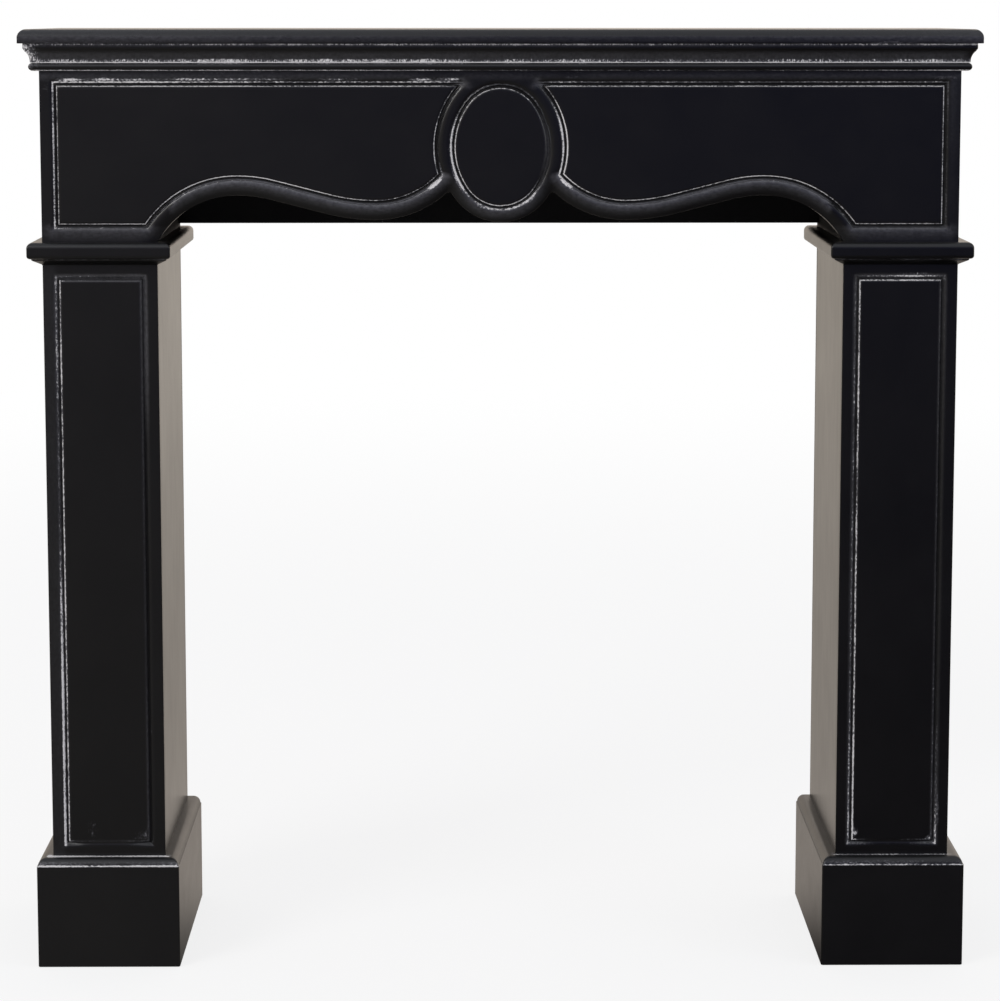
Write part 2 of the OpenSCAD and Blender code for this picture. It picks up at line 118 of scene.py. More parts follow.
pick = node(tree, "MixShader", ray["Is Camera Ray"], lit.outputs[0], seen.outputs[0])
node(tree, "OutputWorld", pick.outputs[0])

# The floor: near white to the camera, with the surround's shadow. In the paint's reflections it is bright
# behind the surround and dark before it, as the photograph's is. The ramps' ends are in metres.
floor_white = (0.86, 0.86, 0.86)
floor_near_behind = (0.83, 0.74, 0.66)
floor_left, floor_far_left = (0.76, 0.68, 0.6), (0.87, 0.78, 0.68)
floor_right, floor_far_right = (0.7, 0.63, 0.56), (1.04, 0.94, 0.83)
floor_before_left, floor_before_right = (0.2, 0.19, 0.175), (0.04, 0.034, 0.034)
floor_size, floor_drop = 14, 0.0004

floor_finish, tree = bare_material("pale_floor")
place = node(tree, "TexCoord").outputs["Object"]
x, y, _ = node(tree, "SeparateXYZ", place).outputs
away = node(tree, "VectorMath", place, operation="LENGTH").outputs["Value"]
matt = node(tree, "BsdfDiffuse", Color=floor_white)
glow = node(tree, "Emission", Color=white, Strength=1.0)
ray = node(tree, "LightPath").outputs
share = maths(tree, "MULTIPLY", ray["Is Camera Ray"], ramp(tree, away, 1.2, 5.0, 0.8, 1.0))
plain = node(tree, "MixShader", share, matt.outputs[0], glow.outputs[0])
far = ramp(tree, y, 1.2, 6.0)
sideward = ramp(tree, x, -0.7, 0.7)
beyond = between(tree, between(tree, floor_left, floor_far_left, far),
                 between(tree, floor_right, floor_far_right, far), sideward)
beyond = between(tree, floor_near_behind, beyond, ramp(tree, y, 0.35, 0.9))
before = between(tree, floor_before_left, floor_before_right, sideward)
mirrored = between(tree, before, beyond, ramp(tree, y, -0.14, 0.24))
mirror = node(tree, "Emission", Color=mirrored, Strength=1.0)
pick = node(tree, "MixShader", ray["Is Glossy Ray"], plain.outputs[0], mirror.outputs[0])
node(tree, "OutputMaterial", pick.outputs[0])

bm = bmesh.new()
bmesh.ops.create_grid(bm, x_segments=1, y_segments=1, size=floor_size)
mesh = bpy.data.meshes.new("floor")
bm.to_mesh(mesh)
bm.free()
floor = bpy.data.objects.new("floor", mesh)
floor.location.z = -floor_drop
floor.data.materials.append(floor_finish)
scene.collection.objects.link(floor)


def softbox(name, place, target, size, power, color):
    """A rectangular lamp at place that faces target."""
    lamp = bpy.data.lights.new(name, "AREA")
    lamp.shape = "RECTANGLE"
    lamp.size, lamp.size_y = size
    lamp.energy = power
    lamp.color = color
    ob = bpy.data.objects.new(name, lamp)
    ob.location = place
    ob.rotation_euler = (Vector(target) - Vector(place)).to_track_quat("-Z", "Y").to_euler()
    scene.collection.objects.link(ob)


softbox("key", (-2.6, -2.6, 2.9), (0, 0, 0.5), (1.6, 1.6), 62, (1, 0.97, 0.93))
softbox("fill", (3.2, -1.8, 2.0), (0, 0, 0.5), (1.4, 1.8), 18, (0.82, 0.9, 1))

# The camera: its tilt and turn are in degrees, and its focal length is in pixels of a picture that wide
camera_place = (-0.0265, -3.2865, 1.036)
camera_tilt, camera_turn = 6.84, 0.464
focal_px, picture_px = 2972, 1001
sensor_w, lens_shift = 36, -0.13
cam = bpy.data.objects.new("camera", bpy.data.cameras.new("camera"))
scene.collection.objects.link(cam)
cam.location = camera_place
cam.rotation_euler = (math.radians(90 - camera_tilt), 0, -math.radians(camera_turn))
cam.data.sensor_width = sensor_w
cam.data.lens = focal_px / picture_px * sensor_w
cam.data.shift_y = lens_shift
scene.camera = cam
scene.view_settings.view_transform = "Standard"

# Leg fronts: one wooden board each, rebated at the back for the side boards that it is glued to, with a V
# groove routed round its face. Painted satin black on a white ground coat, then rubbed through on the
# arrises.
body_x = 490
open_x = 367
front_y = -115
wall_y = 135
board_t = 18
rebate_d = 9
behind_front = front_y + board_t
leg_top = 794
shelf_z = 1005
plinth_h, capital_z = 121, 767
corner_ease = 1.0
# The groove, its bottom and arrises, and the soft shoulder outside it, which is flatter on the legs
groove_half = 2.35
groove_d = 3
arris_soft = 0.5
valley_r = 0.55
shoulder_w, shoulder_d = 5.6, 0.8
leg_shoulder_w, leg_shoulder_d = 4.5, 0.25
# From the leg's long edges, the plinth and the capital to the groove's middle
groove_in, groove_up, groove_down = 16, 13.8, 12.2
groove_x = (open_x + groove_in, body_x - groove_in)
groove_z = (plinth_h + groove_up, capital_z - groove_down)
groove_mid = (sum(groove_x) / 2, sum(groove_z) / 2)
groove_size = ((groove_x[1] - groove_x[0]) / 2, (groove_z[1] - groove_z[0]) / 2)
# How far outside and inside a groove's middle the mesh has a line
groove_outer = (7.6, 6.0, 4.7, 3.7, 2.9, 2.35, 1.8, 1.2, 0.6)
groove_inner = (0.6, 1.2, 1.8, 2.35, 2.9, 3.6, 5.0)
groove_lines = groove_outer + (0,) + tuple(-a for a in groove_inner)
# Lines of vertices across the board carry the rub values
leg_pitch_z, leg_pitch_x = 11, 9
# How much the paint fills the groove's foot, from how far inside its corners, and over what length
fill_share, fill_in, fill_reach = 0.8, 4, 14
# Wear is full on its line and fades over this share of its reach
fade = 0.6
# Edges that turn by more than this are shaded sharp, and eased on the pieces that keep the CAD's shape
sharp_angle = math.radians(35)


def pattern_group(name, *inputs):
    """A node group with the input Stretch and other named values. Gives the group, its inputs, and the
    object's own coordinates, plain and stretched."""
    group = bpy.data.node_groups.new(name, "ShaderNodeTree")
    group.interface.new_socket("Stretch", in_out="INPUT", socket_type="NodeSocketVector")
    for word in inputs:
        group.interface.new_socket(word, in_out="INPUT", socket_type="NodeSocketFloat")
    given = group.nodes.new("NodeGroupInput").outputs
    place = node(group, "TexCoord").outputs["Object"]
    stretched = node(group, "VectorMath", place, given["Stretch"], operation="MULTIPLY").outputs[0]
    return group, given, place, stretched


def put_out(group, **results):
    """Names a pattern group's results."""
    for word in results:
        group.interface.new_socket(word, in_out="OUTPUT", socket_type="NodeSocketFloat")
    outs = group.nodes.new("NodeGroupOutput")
    for word, result in results.items():
        group.links.new(result, outs.inputs[word])
    return group


def noise(tree, place, scale, detail, roughness):
    """A cloudy pattern from 0 to 1."""
    made = node(tree, "TexNoise", Vector=place, Scale=scale, Detail=detail, Roughness=roughness)
    return made.outputs["Fac"]


def rubbed_through():
    """The masks of bare arrises and of thin paint, where the rub value, broken up by noise, is high."""
    group, given, _, stretched = pattern_group("rubbed through", "Rub", "Grain", "Ragged", "Patchy")
    level = given["Rub"]
    for pattern, amount in ((noise(group, stretched, given["Grain"], 3.0, 0.6), "Ragged"),
                            (noise(group, stretched, 38.0, 2.0, 0.5), "Patchy")):
        uneven = maths(group, "MULTIPLY", maths(group, "SUBTRACT", pattern, 0.5), given[amount])
        level = maths(group, "ADD", level, uneven)
    return put_out(group, Worn=ramp(group, level, 0.62, 0.86), Thin=ramp(group, level, 0.3, 0.75))


def brushed_coat():
    """The paint film: slow changes of colour and sheen, and the fine ridges of brush and grain."""
    group, _, place, stretched = pattern_group("brushed coat")
    tone = noise(group, place, 9.0, 4.0, 0.55)
    sheen = noise(group, stretched, 55.0, 4.0, 0.6)
    ridges = noise(group, stretched, 420.0, 3.0, 0.65)
    peel = noise(group, place, 260.0, 2.0, 0.4)
    return put_out(group, Tone=tone, Sheen=between(group, sheen, tone, 0.5, "FLOAT"),
                   Height=maths(group, "MULTIPLY_ADD", peel, 0.6, ridges))


rubbed_group = rubbed_through()
coat_group = brushed_coat()
black_cool, black_warm = (0.0016, 0.0016, 0.0023), (0.0056, 0.0050, 0.0048)
# Grey of thinner paint beside the wear, and of the painted highlights and sheen
thin_film_and_sheen_grey = (0.088, 0.087, 0.096)
ground_coat = (0.66, 0.645, 0.64)
bare_roughness = 0.75


def give_surface(tree, **values):
    """A Principled BSDF with these inputs as the material's surface."""
    node(tree, "OutputMaterial", node(tree, "BsdfPrincipled", **values).outputs["BSDF"])


def black_paint(name, along, grain, ragged, patchy, roughness):
    """Satin black on a white ground coat. along is how much finer the pattern is across each axis, grain how
    fine the wear is, and ragged and patchy how much it breaks up closely and broadly."""
    made, tree = bare_material(name)
    rubbed = node(tree, "Attribute", attribute_name="rub").outputs["Fac"]
    thin_film_and_sheen = node(tree, "Attribute", attribute_name="thin_film_and_sheen").outputs["Fac"]
    worn = node(tree, "Group", node_tree=rubbed_group, Rub=rubbed, Stretch=along, Grain=grain,
                Ragged=ragged, Patchy=patchy).outputs
    coat = node(tree, "Group", node_tree=coat_group, Stretch=along).outputs
    # The lighter grey: a thinner film in places, and mostly painted highlights and sheen that stand in for
    # light
    mottled_film_and_sheen = maths(tree, "MULTIPLY", thin_film_and_sheen, ramp(tree, coat["Height"], 0.6, 1.0, 0.62, 1.38, "LINEAR"))
    colour = between(tree, black_cool, black_warm, coat["Tone"])
    colour = between(tree, colour, thin_film_and_sheen_grey, maths(tree, "MAXIMUM", worn["Thin"], mottled_film_and_sheen))
    colour = between(tree, colour, ground_coat, worn["Worn"])
    sheen = ramp(tree, coat["Sheen"], 0.0, 1.0, roughness - 0.05, roughness + 0.08, "LINEAR")
    height = maths(tree, "MULTIPLY_ADD", worn["Worn"], -3.0, coat["Height"])
    bump = node(tree, "Bump", Strength=0.16, Distance=0.00012, Height=height)
    dulled = between(tree, sheen, bare_roughness, worn["Worn"], "FLOAT")
    give_surface(tree, Base_Color=colour, Roughness=dulled, Normal=bump.outputs["Normal"])
    return made


def seam_of(coords, a, b, reach, amounts):
    """How rubbed each point is by its distance from the line a to b, out to reach. amounts are spaced
    evenly along the line."""
    a, b = np.array(a, float), np.array(b, float)
    along = b - a
    t = np.clip((coords - a) @ along / (along @ along), 0, 1)
    away = np.linalg.norm(coords - a - t[:, None] * along, axis=1)
    amount = np.interp(t, np.linspace(0, 1, len(amounts)), amounts)
    return amount * np.clip((1 - away / reach) / fade, 0, 1)


def places(bm):
    """The places of all vertices, one row each."""
    return np.array([v.co for v in bm.verts])


def rub(bm, values, name="rub"):
    """Keeps the higher value at each vertex. rub is wear through to the ground coat, and thin_film_and_sheen a
    lighter grey: in places a thinner film, and mostly painted highlights and sheen."""
    layer = bm.verts.layers.float.get(name) or bm.verts.layers.float.new(name)
    for v, value in zip(bm.verts, values):
        v[layer] = max(v[layer], float(value))


def cut(bm, place, way, **more):
    """Cuts the mesh along the plane through place that faces way."""
    bmesh.ops.bisect_plane(bm, geom=bm.verts[:] + bm.edges[:] + bm.faces[:], dist=0.001, plane_co=place,
                           plane_no=way, **more)


def cut_across(bm, axis, low, high, pitch):
    """Adds a line of vertices round the piece every pitch along an axis, to carry the rub values."""
    steps = max(2, round((high - low) / pitch))
    way = Vector([1 if i == axis else 0 for i in range(3)])
    for i in range(1, steps):
        cut(bm, way * (low + (high - low) * i / steps), way)


def finish_piece(bm, stood_for, material):
    """Makes the bmesh a painted piece at the origin that rides on the body and stands for its CAD node."""
    bmesh.ops.recalc_face_normals(bm, faces=bm.faces)
    bmesh.ops.scale(bm, vec=(MM, MM, MM), verts=bm.verts)
    name = stood_for + "_painted"
    mesh = bpy.data.meshes.new(name)
    bm.to_mesh(mesh)
    bm.free()
    mesh.shade_smooth()
    mesh.set_sharp_from_angle(angle=sharp_angle)
    mesh.materials.append(material)
    ob = bpy.data.objects.new(name, mesh)
    scene.collection.objects.link(ob)
    even = ob.modifiers.new("even shading", "WEIGHTED_NORMAL")
    even.keep_sharp = True
    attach(ob, "root")
    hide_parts(stood_for)


def flip(bm):
    """The same shape for the left side."""
    bmesh.ops.scale(bm, vec=(-1, 1, 1), verts=bm.verts)


def bevel(bm, edges, size, segments=2):
    """Rounds edges over."""
    bmesh.ops.bevel(bm, geom=edges, offset=size, segments=segments, profile=0.5, affect="EDGES",
                    material=-1, clamp_overlap=True)


def verts_of(geom):
    """The vertices among what a mesh operation gave back."""
    return [part for part in geom if isinstance(part, bmesh.types.BMVert)]


def prism(bm, outline, way):
    """A closed outline of points, extruded by the vector way."""
    face = bm.faces.new([bm.verts.new(p) for p in outline])
    grown = bmesh.ops.extrude_face_region(bm, geom=[face])["geom"]
    bmesh.ops.translate(bm, verts=verts_of(grown), vec=way)


def groove_depth(out, width=shoulder_w, deep=shoulder_d):
    """The depth of a V groove with a round bottom and of the soft shoulder outside it, out being the distance
    outwards from the groove's middle."""
    v = groove_d * (1 - (np.hypot(out, valley_r) - 0.6 * valley_r) / groove_half) / arris_soft
    shoulder = deep * np.clip(1 - (out - groove_half) / width, 0, 1) ** 2 * (out > groove_half)
    return np.maximum(arris_soft * np.logaddexp(0, v), 0) + shoulder


def groove_away(at):
    """How far outside the middle of the leg's groove each point is."""
    return np.maximum(np.abs(at[:, 0] - groove_mid[0]) - groove_size[0],
                      np.abs(at[:, 2] - groove_mid[1]) - groove_size[1])


def leg_front():
    """The right leg's front, the places of its vertices, and which of them are on its face."""
    bm = bmesh.new()
    inner_rebate, outer_rebate = open_x + board_t, body_x - board_t
    lip = behind_front - rebate_d
    prism(bm, [(open_x, front_y, 0), (body_x, front_y, 0), (body_x, lip, 0), (outer_rebate, lip, 0),
               (outer_rebate, behind_front, 0), (inner_rebate, behind_front, 0), (inner_rebate, lip, 0),
               (open_x, lip, 0)], (0, 0, leg_top))
    corners = [e for e in bm.edges if all(abs(v.co.y - front_y) < 0.01 for v in e.verts)
               and abs(e.verts[0].co.z - e.verts[1].co.z) > 1]
    bevel(bm, corners, corner_ease, 3)
    face = max((f for f in bm.faces if f.normal.y < -0.9 or f.normal.y > 0.9),
               key=lambda f: f.calc_area() * (f.calc_center_median().y < front_y + 1))
    (mid_x, mid_z), (half_x, half_z) = groove_mid, groove_size
    inset = {"faces": [face], "use_even_offset": True, "use_boundary": True}
    bmesh.ops.inset_region(bm, thickness=2, **inset)
    for v in face.verts:
        v.co.x = mid_x + math.copysign(half_x + groove_lines[0], v.co.x - mid_x)
        v.co.z = mid_z + math.copysign(half_z + groove_lines[0], v.co.z - mid_z)
    for before, after in zip(groove_lines, groove_lines[1:]):
        bmesh.ops.inset_region(bm, thickness=before - after, **inset)
    cut_across(bm, 2, 0, leg_top, leg_pitch_z)
    cut_across(bm, 0, open_x, body_x, leg_pitch_x)
    at = places(bm)
    on_face = at[:, 1] < front_y + 0.01
    # Paint has run down and filled most of the groove along its foot
    from_ends = half_x - fill_in - np.abs(at[:, 0] - mid_x)
    filled = fill_share * np.clip(from_ends / fill_reach, 0, 1) * (at[:, 2] < mid_z)
    depths = groove_depth(groove_away(at), leg_shoulder_w, leg_shoulder_d) * (1 - filled)
    for v, depth, front in zip(bm.verts, depths, on_face):
        if front:
            v.co.y += depth
    return bm, at, on_face


def groove_rub(at, on_face, outer, inner, outer_reach=2.1, inner_reach=1.4):
    """Rub along the two arrises of the leg's groove: outer and inner each give the amounts along its left
    side upwards, top rightwards, right side upwards and bottom rightwards."""
    total = np.zeros(len(at))
    arris = groove_half - 0.1
    for grow, reach, amounts in ((arris, outer_reach, outer), (-arris, inner_reach, inner)):
        x0, x1 = groove_x[0] - grow, groove_x[1] + grow
        z0, z1 = groove_z[0] - grow, groove_z[1] + grow
        for (xa, za, xb, zb), amount in zip(
                ((x0, z0, x0, z1), (x0, z1, x1, z1), (x1, z0, x1, z1), (x0, z0, x1, z0)), amounts):
            line = seam_of(at, (xa, front_y, za), (xb, front_y, zb), reach, amount)
            total = np.maximum(total, line * on_face)
    return total


def blots(p, spots):
    """Extra rub in soft elliptical spots: middle x and z, half width, half height, amount."""
    total = np.zeros(len(p))
    for x, z, rx, rz, amount in spots:
        total += amount * np.exp(-(((p[:, 0] - x) / rx) ** 2 + ((p[:, 1] - z) / rz) ** 2))
    return total


leg_paint = black_paint("black_paint_legs", (1, 1, 0.5), 620, 1.1, 0.5, 0.32)
# How rubbed the paint is along the groove's outer and inner arris and in spots; how light the grey is along
# the arrises, partly thinner paint and partly painted highlight; and a lighter grey near the leg's outer edge.
# The left leg is drawn as the right one and mirrored, so its places are the right's.
outer_edge = (472, 478, 488)
leg_wear = {
    "left": {
        "rubbed": (
            ((0.2, 0.2, 0.2, 0.2, 0.3), (0.4, 0.45, 0.55),
             (1.0, 0.8, 0.95, 1.0, 0.85, 0.6, 0.5, 0.5, 0.55, 0.6, 0.62, 0.7), (0.3, 0.2, 0.2)),
            ((0.35, 0.35, 0.35, 0.4, 0.4), (0.4, 0.4, 0.5),
             (0.78, 0.75, 0.74, 0.76, 0.75, 0.76), (0.5, 0.3, 0.46))),
        "thin_and_highlights": (
            ((0.02, 0.02, 0.02, 0.02, 0.03, 0.08, 0.45, 0.4), (0.5, 0.4, 0.4),
             (0.2, 0.2, 0.3, 0.3, 0.2, 0.2, 0.3, 0.35), (0.02, 0.0, 0.02)),
            ((0.3, 0.24, 0.16, 0.16, 0.2, 0.25, 0.4), (0.5, 0.45, 0.4), (0.2, 0.2, 0.2), (0.12, 0.1, 0.12))),
        "spots": ((397, 141, 5, 2.5, 0.85), (389, 142, 3, 3, 0.8), (447, 149, 5, 8, 0.7),
                  (396, 668, 3, 6, 0.4), (436, 690, 3, 14, 0.16), (446, 688, 3, 12, 0.14)),
        "edge": (0, 0.09, 0.07)},
    "right": {
        "rubbed": (
            ((0.75, 0.65, 0.6, 0.55, 0.5, 0.5), (0.45, 0.7, 0.85, 0.6),
             (0.7, 0.3, 0.2, 0.2, 0.2, 0.4), (0.5, 0.2, 0.4)),
            ((0.9, 0.82, 0.78, 0.74, 0.74, 0.76), (0.78, 0.8, 0.82),
             (0.5, 0.4, 0.4, 0.4, 0.5), (0.6, 0.1, 0.3, 0.5))),
        "thin_and_highlights": (
            ((0.25, 0.2, 0.25, 0.2, 0.2, 0.3), (0.25, 0.3, 0.35),
             (0.3, 0.1, 0.06, 0.06, 0.1, 0.2), (0.1, 0.0, 0.0, 0.05)),
            ((0.1, 0.1, 0.1), (0.1, 0.1, 0.1), (0.3, 0.25, 0.22, 0.25, 0.3), (0.15, 0.0, 0.0, 0.1))),
        "spots": ((388, 143, 4, 3, 0.8), (379, 134, 3, 4, 0.8), (470, 139, 4, 4, 0.75),
                  (446, 759.5, 24, 2.2, 0.62), (478, 175, 2.4, 25, 0.6)),
        "edge": (0, 0, 0)}}


def in_groove(away):
    """A slightly lighter grey in the bottom of a groove: painted light against the groove's shade, with some
    paint residue.
    """
    return 0.04 * np.clip(1.6 - np.abs(away) / 1.5, 0, 1)


for side, wear in leg_wear.items():
    bm, at, on_face = leg_front()
    rub(bm, groove_rub(at, on_face, *wear["rubbed"]))
    rub(bm, blots(at[:, (0, 2)], wear["spots"]) * on_face)
    # Lighter grey along the arrises: thinner paint beside the wear, and painted highlights
    rub(bm, groove_rub(at, on_face, *wear["thin_and_highlights"], outer_reach=3.4, inner_reach=1.6), "thin_film_and_sheen")
    # Painted light in the groove's bottom, against its shade
    rub(bm, in_groove(groove_away(at)) * on_face, "thin_film_and_sheen")
    # A lighter grey near the leg's outer edge
    rub(bm, np.interp(at[:, 0], outer_edge, wear["edge"]) * on_face, "thin_film_and_sheen")
    if side == "left":
        flip(bm)
    finish_piece(bm, f"leg_front_{side}", leg_paint)

# Frieze: one wooden board across both legs, doweled to them. Its lower edge is sawn to a serpentine on each
# side of an oval medallion, a V groove is routed round each field and round the oval, and the border under
# them falls back to the edge. It is painted like the legs and worn most along the grooves' arrises.
crown_z = 976
# From the board's ends, the crown's foot and the legs' top to the middle of the fields' groove
field_in, field_down, field_up = 16.3, 14.2, 17.1
frieze_side, frieze_top, frieze_bottom = body_x - field_in, crown_z - field_down, leg_top + field_up
# The serpentine is a trough and a crest of two arcs each, with a straight, sway, between them. Heights are
# above the legs' top, and trough_share is the trough's part of the two middle arcs' radii.
trough_x, trough_up, trough_r = 133, 44.5, 91
crest_in, crest_up, crest_r = 85.5, 70.7, 120
sway, trough_share = 60, 0.55
# The border from the serpentine to the sawn edge, and how far, and over what width, it falls back
border_w, border_fall, fall_w = 21.2, 4, 17
# The oval's half width and height, its ends' radius and its middle's height, the widths of the ring round
# it to the sawn edge and to the fields' groove, and the notch between ring and border
medal_a, medal_b, medal_end_r, medal_up = 48.4, 62.2, 42, 101
ring_w, ring_groove = 17.8, 20.8
notch_r = 4
# The shoulder below the serpentine is wider and deeper, and is drawn on a little past its low end
sweep_w, sweep_d, sweep_past = 9, 1.5, 6
edge_r = 0.15
# The sawn edge's lines run on below the board, for the mesh and for measuring from the edge
mesh_past, edge_past = 3, 30
# Where the legs' part of the lower border begins
foot_x = 352
# The mesh's lines over the top grooves and along the sawn edge, by height and by distance from it
streak_lines = (971.5, 974)
edge_lines = (0.15, 1.2, 2.6, 4.6, 6.8, 9.0)

crest_x = open_x - crest_in
rise, run = crest_up - trough_up, crest_x - trough_x
radii = (run * run + rise * rise - sway * sway) / (2 * rise)
trough_out_r = radii * trough_share
crest_out_r = radii - trough_out_r
slope = math.degrees(math.atan2(run, radii - rise) - math.atan2(sway, radii))
trough_c = (trough_x, leg_top + trough_up + trough_r)
trough_out_c = (trough_x, leg_top + trough_up + trough_out_r)
crest_out_c = (crest_x, leg_top + crest_up - crest_out_r)
crest_c = (crest_x, leg_top + crest_up - crest_r)
medal_z = leg_top + medal_up
end_up = medal_b - medal_end_r
side_r = (medal_a ** 2 + end_up ** 2 - medal_end_r ** 2) / (2 * (medal_a - medal_end_r))
side_in = side_r - medal_a
join_a = math.degrees(math.atan2(end_up, side_in))
side_c = (-side_in, medal_z)


def point_on(c, r, turn):
    """The point of a circle at an angle in degrees."""
    return (c[0] + r * math.cos(math.radians(turn)), c[1] + r * math.sin(math.radians(turn)))


def arc(c, r, a0, a1, pitch=5.0):
    """Points about a pitch apart along an arc, its first point left out."""
    n = max(2, round(abs(math.radians(a1 - a0)) * r / pitch))
    return [point_on(c, r, a0 + (a1 - a0) * i / n) for i in range(1, n + 1)]


def meeting(c1, r1, c2, r2, side):
    """The angle on circle 1, in degrees, at which it meets circle 2."""
    d = math.dist(c1, c2)
    toward = math.degrees(math.atan2(c2[1] - c1[1], c2[0] - c1[0]))
    return toward + side * math.degrees(math.acos((d * d + r1 * r1 - r2 * r2) / (2 * d * r1)))


def serpentine(d, start, low):
    """The right-hand line d below the field's edge, from an angle on its first arc down to height low."""
    end = math.degrees(math.asin((low - crest_c[1]) / (crest_r - d)))
    return (arc(trough_c, trough_r + d, start, -90) + arc(trough_out_c, trough_out_r + d, -90, slope - 90)
            + arc(crest_out_c, crest_out_r - d, 90 + slope, 90 + slope - 0.01)
            + arc(crest_out_c, crest_out_r - d, 90 + slope, 90) + arc(crest_c, crest_r - d, 90, end))


def spaced(a, b, pitch=6.0):
    """Points along a straight, its first left out."""
    n = max(1, round(math.dist(a, b) / pitch))
    return [(a[0] + (b[0] - a[0]) * i / n, a[1] + (b[1] - a[1]) * i / n) for i in range(1, n + 1)]


def field_line(e):
    """The closed line e outside the middle of the right field's groove, mitred at its corners."""
    d, r = groove_half + e, ring_groove - e
    start = meeting(trough_c, trough_r + d, side_c, side_r + r, 1)
    low, side, top = frieze_bottom - e, frieze_side + e, frieze_top + e
    end_c = (0, medal_z + end_up)
    ring_low = meeting(side_c, side_r + r, trough_c, trough_r + d, -1)
    ring_high = math.degrees(math.asin((top - end_c[1]) / (medal_end_r + r)))
    points = [point_on(trough_c, trough_r + d, start)] + serpentine(d, start, low)
    points += spaced(points[-1], (side, low)) + spaced((side, low), (side, top))
    corner = ((medal_end_r + r) * math.cos(math.radians(ring_high)), top)
    points += spaced((side, top), corner)
    points += arc(end_c, medal_end_r + r, ring_high, join_a)
    return points + arc(side_c, side_r + r, join_a, ring_low)[:-1]


def oval_line(e):
    """The closed line e outside the oval field's edge."""
    points = []
    for c, r, a0, a1 in ((side_c, side_r, -join_a, join_a),
                         ((0, medal_z + end_up), medal_end_r, join_a, 180 - join_a),
                         ((side_in, medal_z), side_r, 180 - join_a, 180 + join_a),
                         ((0, medal_z - end_up), medal_end_r, 180 + join_a, 360 - join_a)):
        points += arc(c, r + e, a0, a1)
    return points


notch_turn = meeting(side_c, side_r + ring_w + notch_r, trough_c, trough_r + border_w + notch_r, -1)
notch_c = point_on(side_c, side_r + ring_w + notch_r, notch_turn)


def edge_line(d, low):
    """The line d inside the sawn edge, from the ring's lowest point out to height low by the right leg. The
    notch beside the ring is rounded."""
    to_trough = math.degrees(math.atan2(notch_c[1] - trough_c[1], notch_c[0] - trough_c[0]))
    points = [(0.0, medal_z - end_up - medal_end_r - ring_w + d)]
    points += arc((0, medal_z - end_up), medal_end_r + ring_w - d, -90, -join_a)
    points += arc(side_c, side_r + ring_w - d, -join_a, notch_turn)
    points += arc(notch_c, notch_r + d, notch_turn + 180, to_trough + 180, 2.0)
    return points + serpentine(border_w - d, to_trough, low)


def both_halves(right):
    """A line from the middle to the right, with its mirror image before it."""
    return [(-x, z) for x, z in reversed(right[1:])] + right


def away_from(points, line):
    """Each point's distance from a line of points."""
    a, b = np.array(line[:-1]), np.array(line[1:])
    along = b - a
    best = np.full(len(points), 1e9)
    for start, step in zip(a, along):
        t = np.clip((points - start) @ step / (step @ step), 0, 1)
        best = np.minimum(best, np.linalg.norm(points - start - t[:, None] * step, axis=1))
    return best


def oval_out(p):
    """How far outside the oval field each point is, by the oval's four arcs."""
    x, z = np.abs(p[:, 0]), p[:, 1] - medal_z
    steep = np.abs(z) * side_in > (x + side_in) * end_up
    ends = np.hypot(x, np.abs(z) - end_up) - medal_end_r
    return np.where(steep, ends, np.hypot(x + side_in, z) - side_r)


def serpentine_out(p):
    """How far below the field's serpentine edge each point is."""
    x, z = np.abs(p[:, 0]), p[:, 1]
    first = np.hypot(x - trough_c[0], z - trough_c[1]) - trough_r
    second = np.hypot(x - trough_out_c[0], z - trough_out_c[1]) - trough_out_r
    lean = math.radians(slope - 90)
    from_x, from_z = x - trough_out_c[0], z - trough_out_c[1]
    straight = (from_x * math.cos(lean) + from_z * math.sin(lean)) - trough_out_r
    third = crest_out_r - np.hypot(x - crest_out_c[0], z - crest_out_c[1])
    fourth = crest_r - np.hypot(x - crest_c[0], z - crest_c[1])
    along = from_x * -math.sin(lean) + from_z * math.cos(lean)
    return np.select([x < trough_x, along < 0, along < sway, x < crest_x],
                     [first, second, straight, third], fourth)


def field_out(p):
    """How far outside the middle of the fields' groove each point is, mitred at the corners."""
    x, z = np.abs(p[:, 0]), p[:, 1]
    return np.max([x - frieze_side, z - frieze_top, frieze_bottom - z, ring_groove - oval_out(p),
                   serpentine_out(p) - groove_half], axis=0)


def frieze_plan():
    """The points and faces of the frieze's front in plan, with mesh lines along its grooves and edges."""
    low = leg_top - mesh_past
    outline = both_halves(edge_line(0, leg_top))
    corners = [(body_x, leg_top), (body_x, shelf_z), (-body_x, shelf_z), (-body_x, leg_top)]
    for a, b in zip([outline[-1]] + corners, corners + [outline[0]]):
        outline += spaced(a, b, 8.0)
    outline.pop()
    points = list(outline)
    edges = []

    def add(line, closed):
        first = len(points)
        points.extend(line)
        edges.extend((first + i, first + i + 1) for i in range(len(line) - 1))
        if closed:
            edges.append((len(points) - 1, first))

    for e in groove_lines:
        add(field_line(e), True)
        add([(-x, z) for x, z in field_line(e)], True)
        add(oval_line(groove_half + e), True)
    for d in edge_lines:
        add(both_halves(edge_line(d, low)), False)
    for z in streak_lines:
        add([(-body_x + 2, z)] + spaced((-body_x + 2, z), (body_x - 2, z)), False)
    flat = [Vector(p) for p in points]
    verts, _, faces, _, _, _ = delaunay_2d_cdt(flat, edges, [list(range(len(outline)))], 1, 0.01)
    return np.array(verts), faces


